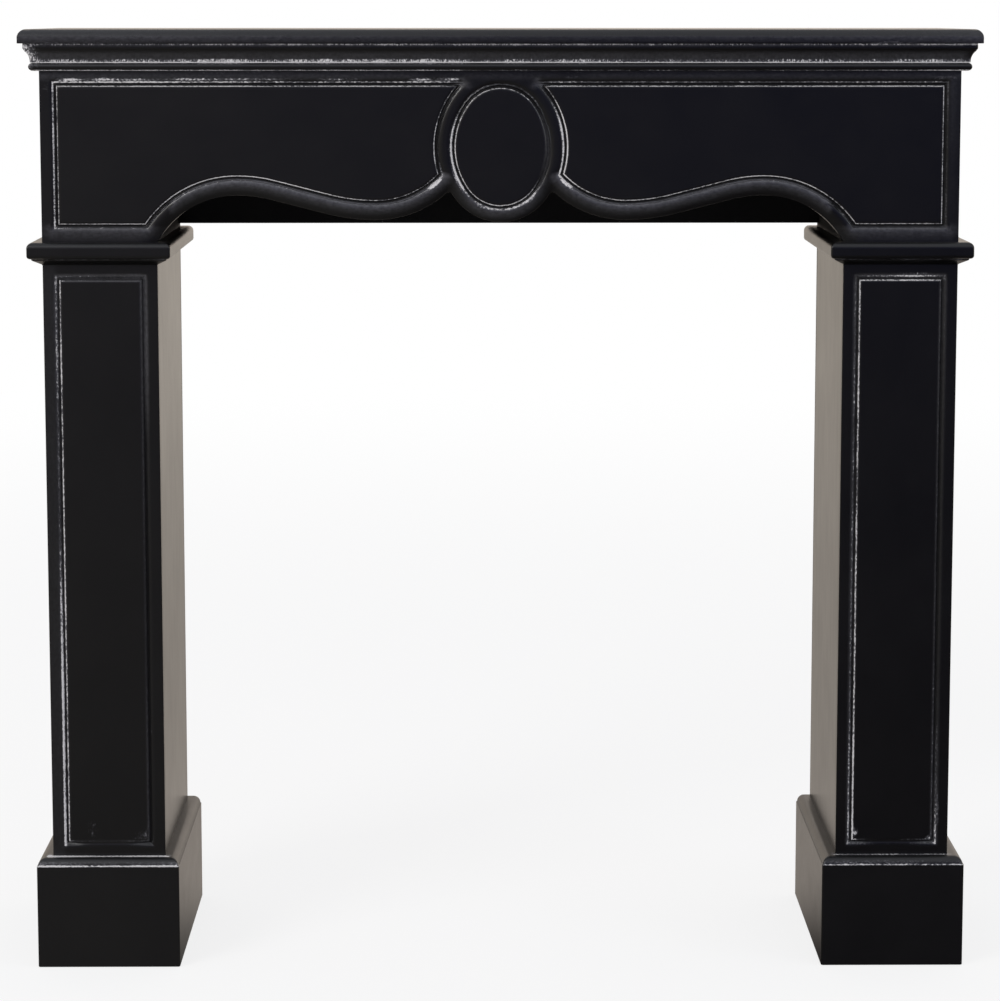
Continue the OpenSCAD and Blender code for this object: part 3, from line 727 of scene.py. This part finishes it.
def frieze_depth(plan):
    """How far behind the front plane the frieze's face is at each point."""
    edge = both_halves(edge_line(0, leg_top - mesh_past - edge_past))
    fall_r = (fall_w ** 2 + border_fall ** 2) / (2 * border_fall)
    off = away_from(plan, edge)
    fall = fall_r - np.sqrt(fall_r ** 2 - np.clip(fall_w - off, 0, None) ** 2)
    ease = edge_r - np.sqrt(edge_r ** 2 - np.clip(edge_r - off, 0, None) ** 2)
    field, oval = field_out(plan), oval_out(plan) - groove_half
    swept = (serpentine_out(plan) - groove_half > field - 0.01) & (plan[:, 1] > frieze_bottom - sweep_past)
    upright = (np.abs(plan[:, 0]) > frieze_side) & (plan[:, 1] > frieze_bottom) & (plan[:, 1] < frieze_top)
    width = np.where(swept, sweep_w, shoulder_w)
    deep = np.select([swept, upright], [sweep_d, leg_shoulder_d], shoulder_d)
    return fall + ease + groove_depth(field, width, deep) + groove_depth(oval)


def frieze():
    """The grooved and sawn board, thinner at both ends, where it laps the outer side boards."""
    plan, faces = frieze_plan()
    bm = bmesh.new()
    made = [bm.verts.new((p[0], front_y + y, p[1])) for p, y in zip(plan, frieze_depth(plan))]
    for face in faces:
        bm.faces.new([made[i] for i in face])
    rim = [e for e in bm.edges if e.is_boundary]
    back = bmesh.ops.extrude_edge_only(bm, edges=rim)["geom"]
    for v in verts_of(back):
        v.co.y = behind_front - rebate_d
    bmesh.ops.holes_fill(bm, edges=[e for e in back if isinstance(e, bmesh.types.BMEdge)], sides=0)
    for x in (-1, 1):
        cut(bm, (x * (body_x - board_t), 0, 0), (1, 0, 0))
    rear = [f for f in bm.faces if abs(f.calc_center_median().y - behind_front + rebate_d) < 0.01
            and abs(f.calc_center_median().x) < body_x - board_t and abs(f.normal.y) > 0.9]
    grown = bmesh.ops.extrude_face_region(bm, geom=rear)["geom"]
    bmesh.ops.translate(bm, verts=verts_of(grown), vec=(0, rebate_d, 0))
    bmesh.ops.delete(bm, geom=rear, context="FACES_ONLY")
    return bm


frieze_paint = black_paint("black_paint_frieze", (0.55, 1, 1), 620, 1.1, 0.5, 0.32)
bm = frieze()
at = places(bm)
plan = at[:, (0, 2)]
across, height = np.abs(plan[:, 0]), plan[:, 1]
in_front = at[:, 1] < front_y + groove_d + 2
field, oval = field_out(plan), oval_out(plan) - groove_half
# How much the grooves' arrises are rubbed: a level, and more or less of it in places
outer = 0.6 + blots(plan, (
    (-474, 880, 7, 90, 0.2), (-420, 962, 80, 5, 0.25), (-300, 962, 190, 5, 0.1), (-60, 962, 40, 6, 0.2),
    (474, 880, 8, 90, -0.3), (0, 895, 78, 60, -0.3), (68, 905, 12, 44, 0.5), (-70, 895, 14, 36, -0.2),
    (-75, 866, 24, 12, 0.6), (70, 866, 20, 10, 0.5), (-420, 811, 50, 4, -0.1), (430, 811, 50, 4, -0.3),
    (-480, 812, 6, 6, 0.3), (-200, 846, 140, 34, -0.25), (200, 846, 140, 34, -0.3), (-250, 866, 40, 6, 0.12)))
inner = 0.78 + blots(plan, (
    (-300, 962, 200, 5, 0.08), (300, 962, 180, 5, 0.06), (-474, 880, 8, 90, -0.06), (0, 895, 78, 56, -0.5),
    (68, 895, 12, 48, 0.75), (-69, 900, 10, 44, 0.25), (-250, 860, 90, 24, 0.2), (-420, 811, 60, 4, 0.14),
    (474, 880, 8, 90, -0.04), (230, 862, 120, 20, 0.1)))
oval_outer = 0.45 + blots(plan, (
    (-52, 905, 14, 42, 0.4), (-46, 858, 16, 26, 0.45), (0, 832, 34, 8, 0.35), (36, 842, 16, 14, 0.3),
    (50, 895, 10, 40, -0.4), (25, 945, 20, 12, 0.2), (-20, 954, 24, 8, 0.15)))
oval_inner = 0.72 + blots(plan, (
    (-46, 890, 16, 50, 0.14), (46, 895, 10, 46, -0.5), (10, 950, 34, 12, 0.06), (0, 838, 30, 10, 0.1)))
# Scuffs beside the grooves, and patches scraped bare at the ends of the ring and above the top grooves
field_scuffs = blots(plan, ((67, 912, 10, 34, 0.66), (-76, 863, 18, 9, 0.85), (76, 863, 14, 7, 0.75)))
field_scrapes = blots(plan, ((-70, 856, 16, 12, 1.15), (71, 857, 13, 10, 1.0)))
inner_scuffs = blots(plan, ((69, 895, 9, 44, 0.6),))
oval_scuffs = blots(plan, (
    (-58, 915, 12, 30, 0.4), (-50, 856, 14, 20, 0.78), (-16, 833, 26, 9, 0.66), (34, 838, 16, 12, 0.6)))
top_scuffs = blots(plan, (
    (-458, 966.4, 17, 3, 0.92), (-425, 967, 16, 2.4, 0.74), (-390, 966.6, 30, 2.4, 0.72),
    (-330, 967, 30, 2, 0.68), (-255, 967, 50, 2, 0.66), (-170, 967, 28, 2, 0.6), (-52, 967, 15, 2.8, 0.85),
    (-84, 966.6, 14, 2.2, 0.75), (75, 969, 9, 2, 0.5), (485, 968, 6, 3, 0.45), (470, 969, 14, 2, 0.6),
    (-483, 958, 2.5, 5, 0.6), (-300, 974, 220, 2.5, 0.36), (200, 974, 260, 2.5, 0.3)))
lines = [amount * np.clip((1 - np.abs(out - place) / reach) / fade, 0, 1) for amount, out, place, reach in (
    (outer, field, groove_half - 0.1, 1.6), (inner, field, 0.2 - groove_half, 1.0),
    (oval_outer, oval, groove_half, 2.0), (oval_inner, oval, 0.2 - groove_half, 1.0),
    (field_scuffs, field, groove_half + 0.5, 2.6), (field_scrapes, field, groove_half + 1.2, 3.6),
    (inner_scuffs, field, -groove_half - 0.2, 1.8), (oval_scuffs, oval, groove_half + 1.4, 3.4))]
rub(bm, np.max(lines + [top_scuffs], axis=0) * in_front)
# Lighter grey: painted highlights on the rolled border below the grooves, on the legs' part of the lower
# border, on the ring below one height and beside the oval's right side; painted light in the grooves against
# their shade;
# and a lighter band over the top grooves and at the board's right end
ring_level, right_end_x = 862, 483
low_border = (serpentine_out(plan) - groove_half > field - 0.01) * (across < foot_x)
rub(bm, low_border * np.interp(field, (1.2, 2.6, 5.5), (0, 0.6, 0)) * in_front)
# Painted highlight on the rolled border, brightest just below the groove and fading towards the edge
rolled_highlight = low_border * np.interp(field, (0.8, 1.8, 3, 5.5, 10, 15), (0, 1.0, 0.96, 0.52, 0.19, 0))
rolled_highlight *= 1 + blots(plan, (
    (-250, 860, 60, 14, 0.3), (-78, 860, 22, 14, 0.5), (78, 860, 18, 12, 0.5), (-330, 815, 30, 20, -0.4)))
# Painted highlight on the legs' part of the lower border, below its groove
foot = (height < frieze_bottom) * (across > foot_x) * np.interp(
    field, (0.8, 1.8, 3, 6, 10, 15), (0, 0.55, 0.55, 0.4, 0.2, 0.06))
# Painted highlight on the ring's lower part, next to the oval's groove
ring_low = (height < ring_level) * np.interp(across, (30, 52), (1, 0.2)) * np.interp(
    oval, (0.8, 1.8, 3, 6, 10, 14), (0, 0.62, 0.58, 0.34, 0.17, 0))
# Painted highlight beside the oval's groove on its right side
ring_right = blots(plan, ((50, 893, 12, 50, 1),)) * np.interp(
    oval, (-4.5, -2, 0, 2, 4), (0, 0.34, 0.4, 0.16, 0))
under_crown = np.clip(1.2 - np.abs(height - streak_lines[0]) / 5, 0, 1) * np.interp(
    plan[:, 0], (-490, -100, -75, -40, 40, 75, 100, 490), (0.34, 0.3, 0.1, 0.2, 0.2, 0.08, 0.22, 0.26))
right_end = np.clip(1 - np.abs(plan[:, 0] - right_end_x) / 8, 0, 1) * np.interp(
    height, (805, 880, 975), (0.04, 0.08, 0.24))
# Lighter grey in the grooves' bottoms, painted light against their shade
grooves = in_groove(np.minimum(np.abs(field), np.abs(oval)))
thin_and_highlights = np.max([rolled_highlight, foot, ring_low, ring_right, under_crown, right_end, grooves], axis=0)
rub(bm, thin_and_highlights * in_front, "thin_film_and_sheen")
finish_piece(bm, "frieze_front", frieze_paint)

# Plinths and capitals: wooden boards round the foot of each leg, with an ovolo along their upper edge, and
# the moulding round its top, with a nose and a rounded upper edge. Each is three lengths glued on, mitred at
# the corners and square at the wall, in the same worn black paint.
moulding_pitch = 9
# A mitre's corner is rounded, over mesh lines at these distances before it
mitre_round = 2
mitre_lines = (2.0, 1.4, 0.9, 0.4, 0.15)
# Extra points on a section's long faces, this far from their corners, carry the rub values
support_lines = (1.2, 2.6, 5.0)
# Edges of a section that turn by more than this, in radians, are eased
section_turn = 0.55
# A side length's wear is given at its front end and at this many even steps behind it
side_steps = 19


def supported(section):
    """The same section with more points beside the corners of its long faces, to carry the rub values."""
    points = []
    for a, b in zip(section, section[1:] + section[:1]):
        points.append(a)
        length = math.dist(a, b)
        near = [s for s in support_lines if s < length / 2 - 0.4]
        for s in near + [length - s for s in reversed(near)]:
            points.append((a[0] + (b[0] - a[0]) * s / length, a[1] + (b[1] - a[1]) * s / length))
    return points


def cut_end(bm, place, way, out, mitred):
    """Cuts a length off at place, square or along its mitre, closes it, and rounds a mitre's corner."""
    plane = (way - out).normalized() if mitred else way
    for back_off in mitre_lines if mitred else ():
        cut(bm, place - way * back_off, plane)
    cut(bm, place, plane, clear_outer=True)
    ends = [e for e in bm.edges if e.is_boundary]
    if not mitred:
        ends = [e for e in ends if abs((e.verts[0].co - place).dot(way)) < 0.01]
    bmesh.ops.holes_fill(bm, edges=ends, sides=0)
    for v in bm.verts if mitred else ():
        level = (v.co - place).dot(out)
        back = level - (v.co - place).dot(way)
        if level > 0.3 and back < mitre_round - 0.001:
            turn = math.radians(45) * (1 - back / mitre_round)
            v.co += (way * (back + mitre_round * (math.sin(turn) - 1))
                     + out * mitre_round * (math.cos(turn) - 1))


def moulding(section, start, end, out, start_mitre, end_mitre, arris=0.5, eased=()):
    """A length along the foot line start to end, its section given as (out, up) points from that foot.
    eased lists arrises of the section as (out, up, size)."""
    section = supported(section)
    start, end, out = Vector(start), Vector(end), Vector(out)
    along = (end - start).normalized()
    reach = max(p[0] for p in section) + 2
    first = start - along * reach * start_mitre
    length = (end - start).length + reach * (start_mitre + end_mitre)
    bm = bmesh.new()
    ring = [bm.verts.new(first + out * o + Vector((0, 0, u))) for o, u in section]
    edges = [bm.edges.new((ring[i - 1], ring[i])) for i in range(len(ring))]
    steps = max(2, round(length / moulding_pitch))
    bmesh.ops.spin(bm, geom=ring + edges, cent=first, axis=(0, 0, 1), dvec=along * (length / steps), angle=0,
                   steps=steps, use_merge=False, use_duplicate=False)

    def out_up(v):
        return (v.co - start).dot(out), v.co.z - start.z

    for o, u, size in eased:
        bevel(bm, [e for e in bm.edges if all(math.dist(out_up(v), (o, u)) < 0.01 for v in e.verts)], size, 3)
    sharp = [e for e in bm.edges if len(e.link_faces) == 2 and e.calc_face_angle() > section_turn
             and all(out_up(v)[0] > 0.2 for v in e.verts)]
    bevel(bm, sharp, arris)
    cut_end(bm, start, -along, out, start_mitre)
    cut_end(bm, end, along, out, end_mitre)
    return bm


def bend(c, r, a0, a1, n):
    """An arc of n equal steps, with both its ends."""
    return [point_on(c, r, a0 + (a1 - a0) * i / n) for i in range(n + 1)]


def rub_length(bm, start, end, out, mitres, lines, layer="rub"):
    """Rubs a length of moulding along lines of its section, each (out, up, reach, amounts)."""
    at = places(bm)
    a, b, way = Vector(start), Vector(end), Vector(out)
    along = (b - a).normalized()
    for o, u, reach, amounts in lines:
        shift = way * o + Vector((0, 0, u))
        rub(bm, seam_of(at, a + shift - along * o * mitres[0], b + shift + along * o * mitres[1], reach,
                        amounts), layer)


def at_front_end(lines, end, share, rest):
    """The same lines for a length that runs back to the wall: rubbed at its front end, by a share of the
    amount at that end of the front length, and evenly by rest behind it."""
    return [(o, u, reach, (amounts[end] * share,) + (rest,) * side_steps) for o, u, reach, amounts in lines]


plinth_t, plinth_round, plinth_ledge, plinth_ease, plinth_foot_ease = 16, 8, 1, 0.4, 1.0
plinth_section = [(0, 0), (plinth_t, 0), (plinth_t, plinth_h - plinth_round)] + bend(
    (plinth_t - plinth_ledge - plinth_round, plinth_h - plinth_round), plinth_round, 0, 90, 8) + [
    (0, plinth_h)]
plinth_paint = black_paint("black_paint_plinths", (0.6, 0.6, 1), 620, 1.1, 0.5, 0.36)
# Below its nose the capital has a small step and slopes back to the leg
capital_h, capital_out = 27, 15
capital_nose_r, capital_nose_z, capital_top_r = 3.6, 13, 6
capital_section = [(0, 2.2), (1.2, 3.2), (9.4, 7.3), (10.6, 8.2), (10.6, 9.4)] + bend(
    (capital_out - capital_nose_r, capital_nose_z), capital_nose_r, -90, 0, 6) + bend(
    (capital_out - capital_top_r, capital_h - capital_top_r), capital_top_r, 0, 90, 7) + [(0, capital_h)]
capital_paint = black_paint("black_paint_capitals", (0.5, 0.5, 1), 520, 0.9, 0.5, 0.32)
# Each line of wear is (out, up, reach, amounts), and the amounts run from the leg's inner corner to its
# outer one
plinth_lines = {
    "left": ((plinth_t - 0.4, 113.4, 1.6, (0.95, 1.0, 0.95, 0.95, 0.9, 0.95, 1.0, 1.1)),
             (3.4, plinth_h, 5.0, (0.95, 1.0, 0.85, 0.8, 0.85, 0.92, 1.0, 1.5)),
             (14.6, 115, 4.6, (0.5, 0.44, 0.42, 0.42, 0.44, 0.46, 0.55))),
    "right": ((plinth_t - 0.4, 113.4, 1.4, (0.78, 0.74, 0.7, 0.72, 0.72, 0.76, 0.8)),
              (2.6, plinth_h, 3.8, (0.7, 0.64, 0.6, 0.68, 0.58, 0.66, 0.72)),
              (14.6, 115, 4.6, (0.42, 0.38, 0.36, 0.36, 0.38, 0.42)))}
capital_lines = (
    (10.8, 8.8, 1.1, (0.5, 0.42, 0.4, 0.42, 0.4, 0.5)),
    (9, capital_h, 5, (0.35, 0.3, 0.3, 0.35)))


def wrap(name, section, z, paint, lines, side, arris=0.5, eased=()):
    """The three lengths round a leg, drawn round the right one and flipped for the left."""
    for face, start, end, out, mitres in (
            ("front", (open_x, front_y, z), (body_x, front_y, z), (0, -1, 0), (1, 1)),
            ("outer", (body_x, front_y, z), (body_x, wall_y, z), (1, 0, 0), (1, 0)),
            ("inner", (open_x, front_y, z), (open_x, wall_y, z), (-1, 0, 0), (1, 0))):
        bm = moulding(section, start, end, out, *mitres, arris=arris, eased=eased)
        rub_length(bm, start, end, out, mitres, lines if face == "front" else at_front_end(
            lines, -1 if face == "outer" else 0, 0.8, 0.2))
        if side == "left":
            flip(bm)
        finish_piece(bm, f"{name}_{face}_{side}", paint)


for side in ("left", "right"):
    wrap("plinth", plinth_section, 0, plinth_paint, plinth_lines[side], side, plinth_ease,
         ((plinth_t, 0, plinth_foot_ease),))
    wrap("capital", capital_section, capital_z, capital_paint, capital_lines, side)

# Crown: a wooden moulding with a flat fillet, a cove and a bead, in three mitred lengths glued on under the
# shelf. The white ground coat shows in the quirk above the bead, where the cove was rubbed hardest, and
# along the fillet's top.
bead_r, bead_out = 4.3, 5.8
cove_foot, cove_r, cove_quirk, crown_out, crown_h = 8.5, 14, 1.8, 15, 29
nose_r, nose_z, nose_turn = 2.2, 24.2, -62
# How far the cove's end stays behind the fillet
cove_stop = 1.6
cove_c = (cove_foot + cove_r, 2 * bead_r + cove_quirk)
cove_low = 180 + math.degrees(math.asin(cove_quirk / cove_r))
cove_high = 180 - math.degrees(math.acos((cove_c[0] - crown_out + cove_stop) / cove_r))
crown_section = [(0, 0)] + bend((bead_out, bead_r), bead_r, -90, 90, 12) + bend(
    cove_c, cove_r, cove_low, cove_high, 12) + bend(
    (crown_out - nose_r, nose_z), nose_r, nose_turn, 0, 4) + [(crown_out, crown_h), (0, crown_h)]
crown_paint = black_paint("black_paint_crown", (1, 1, 0.45), 820, 1.5, 0.5, 0.32)
# The lines of wear: the cove's foot above the bead, twice, the bead's lower side, and the fillet's top
crown_lines = (
    (cove_foot + 0.1, 2 * bead_r + 0.2, 1.35,
     (0.9, 1.1, 1.2, 1.25, 1.3, 1.35, 1.4, 1.3, 1.2, 1.1, 1.0, 1.1, 1.15, 1.3, 1.2)),
    (cove_foot, 2 * bead_r + 1.4, 4.4,
     (0.62, 0.58, 0.66, 0.68, 0.7, 0.7, 0.66, 0.58, 0.64, 0.54, 0.5, 0.56, 0.56, 0.64, 0.56)),
    (bead_out + 2.2, 0.6, 1.6,
     (0.85, 0.9, 0.88, 0.86, 0.84, 0.84, 0.78, 0.6, 0.6, 0.6, 0.55, 0.52, 0.6, 0.85, 0.92)),
    (crown_out, crown_h - 1.3, 1.9,
     (0.66, 0.62, 0.7, 0.74, 0.78, 0.78, 0.76, 0.78, 0.76, 0.74, 0.68, 0.64, 0.66, 0.74, 0.82)))
# A painted highlight along the fillet and a lighter grey in the cove, and the scraped left corner as (out, up,
# reach, amount)
crown_highlight_and_cove_grey = (
    (crown_out, crown_h - 1, 2.6, (0.6, 0.7, 0.8, 0.8, 0.8, 0.8, 0.7, 0.7, 0.8)),
    (cove_foot + 1.5, 14, 9, (0.3, 0.26, 0.24, 0.24, 0.26, 0.26, 0.28, 0.28, 0.28, 0.26, 0.26, 0.28, 0.28)))
corner_rub = ((cove_foot + 2, 15, 21, 0.96), (crown_out, crown_h - 2, 21, 0.92))

for name, start_x, end_x, end_y, out, mitres in (
        ("crown_front", -body_x, body_x, front_y, (0, -1, 0), (1, 1)),
        ("crown_right", body_x, body_x, wall_y, (1, 0, 0), (1, 0)),
        ("crown_left", -body_x, -body_x, wall_y, (-1, 0, 0), (1, 0))):
    start, end = (start_x, front_y, crown_z), (end_x, end_y, crown_z)
    bm = moulding(crown_section, start, end, out, *mitres)
    rub_length(bm, start, end, out, mitres, crown_lines if name == "crown_front" else at_front_end(
        crown_lines, -1 if name == "crown_right" else 0, 1, 0.25))
    if name == "crown_front":
        # Painted highlight along the fillet, and a lighter grey in the cove
        rub_length(bm, start, end, out, (0, 0), crown_highlight_and_cove_grey, "thin_film_and_sheen")
    if name != "crown_right":
        for o, u, reach, amount in corner_rub:
            spot = np.array((-body_x - o, front_y - o, crown_z + u))
            rub(bm, amount * np.clip(1 - np.linalg.norm(places(bm) - spot, axis=1) / reach, 0, None))
    finish_piece(bm, name, crown_paint)

# Mantel shelf: a plain wooden board, rounded over along the upper front edge and both ends, and flush with
# the wall at the back. It is screwed to the legs from below and painted like the rest, a little glossier.
shelf_w, total_h, shelf_round, shelf_ease, shelf_pitch = 1020, 1020, 9, 0.7, 15
# The edges left square by the rounding turn by more than this, in radians
square_turn = 0.8
shelf_paint = black_paint("black_paint_shelf", (0.35, 1, 1), 480, 0.8, 0.6, 0.26)
bm = bmesh.new()
bmesh.ops.create_cube(bm, size=1)
bmesh.ops.scale(bm, vec=(shelf_w, 2 * wall_y, total_h - shelf_z), verts=bm.verts)
bmesh.ops.translate(bm, vec=(0, 0, (total_h + shelf_z) / 2), verts=bm.verts)
upper = [e for e in bm.edges if all(v.co.z > total_h - 1 for v in e.verts)
         and not all(v.co.y > wall_y - 1 for v in e.verts)]
bevel(bm, upper, shelf_round, 10)
lower = [e for e in bm.edges if len(e.link_faces) == 2 and e.calc_face_angle() > square_turn]
bevel(bm, lower, shelf_ease)
cut_across(bm, 0, -shelf_w / 2, shelf_w / 2, shelf_pitch)
at = places(bm)


def shelf_line(z, reach, amounts):
    """Wear along the shelf's front at a height, from left to right."""
    return seam_of(at, (-shelf_w / 2, -wall_y, z), (shelf_w / 2, -wall_y, z), reach, amounts)


rub(bm, shelf_line(shelf_z, 1.3, (0.5, 0.4, 0.3, 0.4, 0.35, 0.4, 0.5)))
# Painted highlight along the foot of the front's rounding, and a painted sheen over the front, stronger
# towards both ends
rub(bm, shelf_line(total_h - shelf_round + 0.6, 1.7, (0.4, 0.38, 0.28, 0.2, 0.22, 0.3, 0.44)), "thin_film_and_sheen")
shelf_front = at[:, 1] < -wall_y + shelf_round
rub(bm, shelf_front * np.interp(at[:, 0], (-510, -420, -250, 0, 250, 420, 510), (
    0.12, 0.1, 0.05, 0, 0, 0.05, 0.16)), "thin_film_and_sheen")
finish_piece(bm, "mantel_shelf", shelf_paint)

# Side boards, back rail and the plates inside the legs: plain boards, screwed, bolted and glued together.
# They keep the frame's own shapes, with their arrises eased, in the same black paint.
board_paint = black_paint("black_paint_boards", (1, 1, 0.3), 480, 0.8, 0.6, 0.3)
# Above the capitals the boards are dull. The heights are in metres.
dull_from, dull_to, dull_roughness = 0.79, 0.8, 0.95
tree = board_paint.node_tree
height = node(tree, "SeparateXYZ", node(tree, "TexCoord").outputs["Object"]).outputs["Z"]
gloss = next(n for n in tree.nodes if n.type == "BSDF_PRINCIPLED").inputs["Roughness"]
above = ramp(tree, height, dull_from, dull_to)
tree.links.new(between(tree, gloss.links[0].from_socket, dull_roughness, above, "FLOAT"), gloss)


def own_finish(name, material, arris):
    """Gives a CAD node its material and its eased arrises."""
    ob = nodes[name]
    ob.data.materials.clear()
    ob.data.materials.append(material)
    weld = ob.modifiers.new("joined faces", "WELD")
    weld.merge_threshold = 0.00001
    ease = ob.modifiers.new("eased arrises", "BEVEL")
    ease.width = arris * MM
    ease.segments = 2
    ease.limit_method = "ANGLE"
    ease.angle_limit = sharp_angle
    ease.harden_normals = True


for word in ("left", "right"):
    for part in ("leg_inner", "leg_outer", "leg_cap", "leg_brace", "leg_foot"):
        own_finish(f"{part}_{word}", board_paint, 0.6)
own_finish("back_rail", board_paint, 0.6)


# Glue blocks and dowels: softwood, left bare. The triangular blocks are glued into the corners inside the
# legs and under the shelf, and the dowels join the leg fronts to the frieze.
def wood_grain():
    """Growth rings and fibres, which run along the grain."""
    group, _, _, stretched = pattern_group("wood grain")
    rings = node(group, "TexWave", wave_type="BANDS", Vector=stretched, Scale=60.0, Distortion=6.0,
                 Detail=3.0)
    return put_out(group, Rings=rings.outputs["Fac"], Fibre=noise(group, stretched, 500.0, 3.0, 0.6))


def give_grained(tree, colours, tint, pattern, roughness, strength, depth, **more):
    """A surface between two colours by tint, whose roughness and height follow a pattern."""
    bump = node(tree, "Bump", Strength=strength, Distance=depth, Height=pattern)
    give_surface(tree, Base_Color=between(tree, *colours, tint), Normal=bump.outputs["Normal"],
                 Roughness=ramp(tree, pattern, 0.0, 1.0, *roughness, "LINEAR"), **more)


grain_group = wood_grain()
pine_colours = ((0.52, 0.35, 0.19), (0.66, 0.49, 0.3))


def bare_pine(name, along):
    """Bare softwood. along is how much finer the grain is across each axis."""
    made, tree = bare_material(name)
    grain = node(tree, "Group", node_tree=grain_group, Stretch=along).outputs
    give_grained(tree, pine_colours, grain["Rings"], grain["Fibre"], (0.6, 0.8), 0.3, 0.0002)
    return made


upright_pine = bare_pine("bare_pine_upright", (1, 1, 0.1))
lying_pine = bare_pine("bare_pine_lying", (0.1, 1, 1))
for name, pine in (("leg_blocks_left", upright_pine), ("leg_blocks_right", upright_pine),
                   ("shelf_blocks", lying_pine), ("joint_dowels", upright_pine)):
    own_finish(name, pine, 0.4)

# Bolts, barrel nuts and screws: zinc-plated steel, a dull and slightly mottled plating. The bolts and nuts
# hold the back rail between the legs, and the screws hold the shelf.
zinc_colours = ((0.46, 0.47, 0.5), (0.62, 0.63, 0.64))
zinc, tree = bare_material("zinc_plate")
spangle = noise(tree, node(tree, "TexCoord").outputs["Object"], 700.0, 3.0, 0.6)
give_grained(tree, zinc_colours, spangle, spangle, (0.28, 0.5), 0.2, 0.00005, Metallic=1.0)
for name in ("rail_bolts", "barrel_nuts", "shelf_screws"):
    own_finish(name, zinc, 0.2)
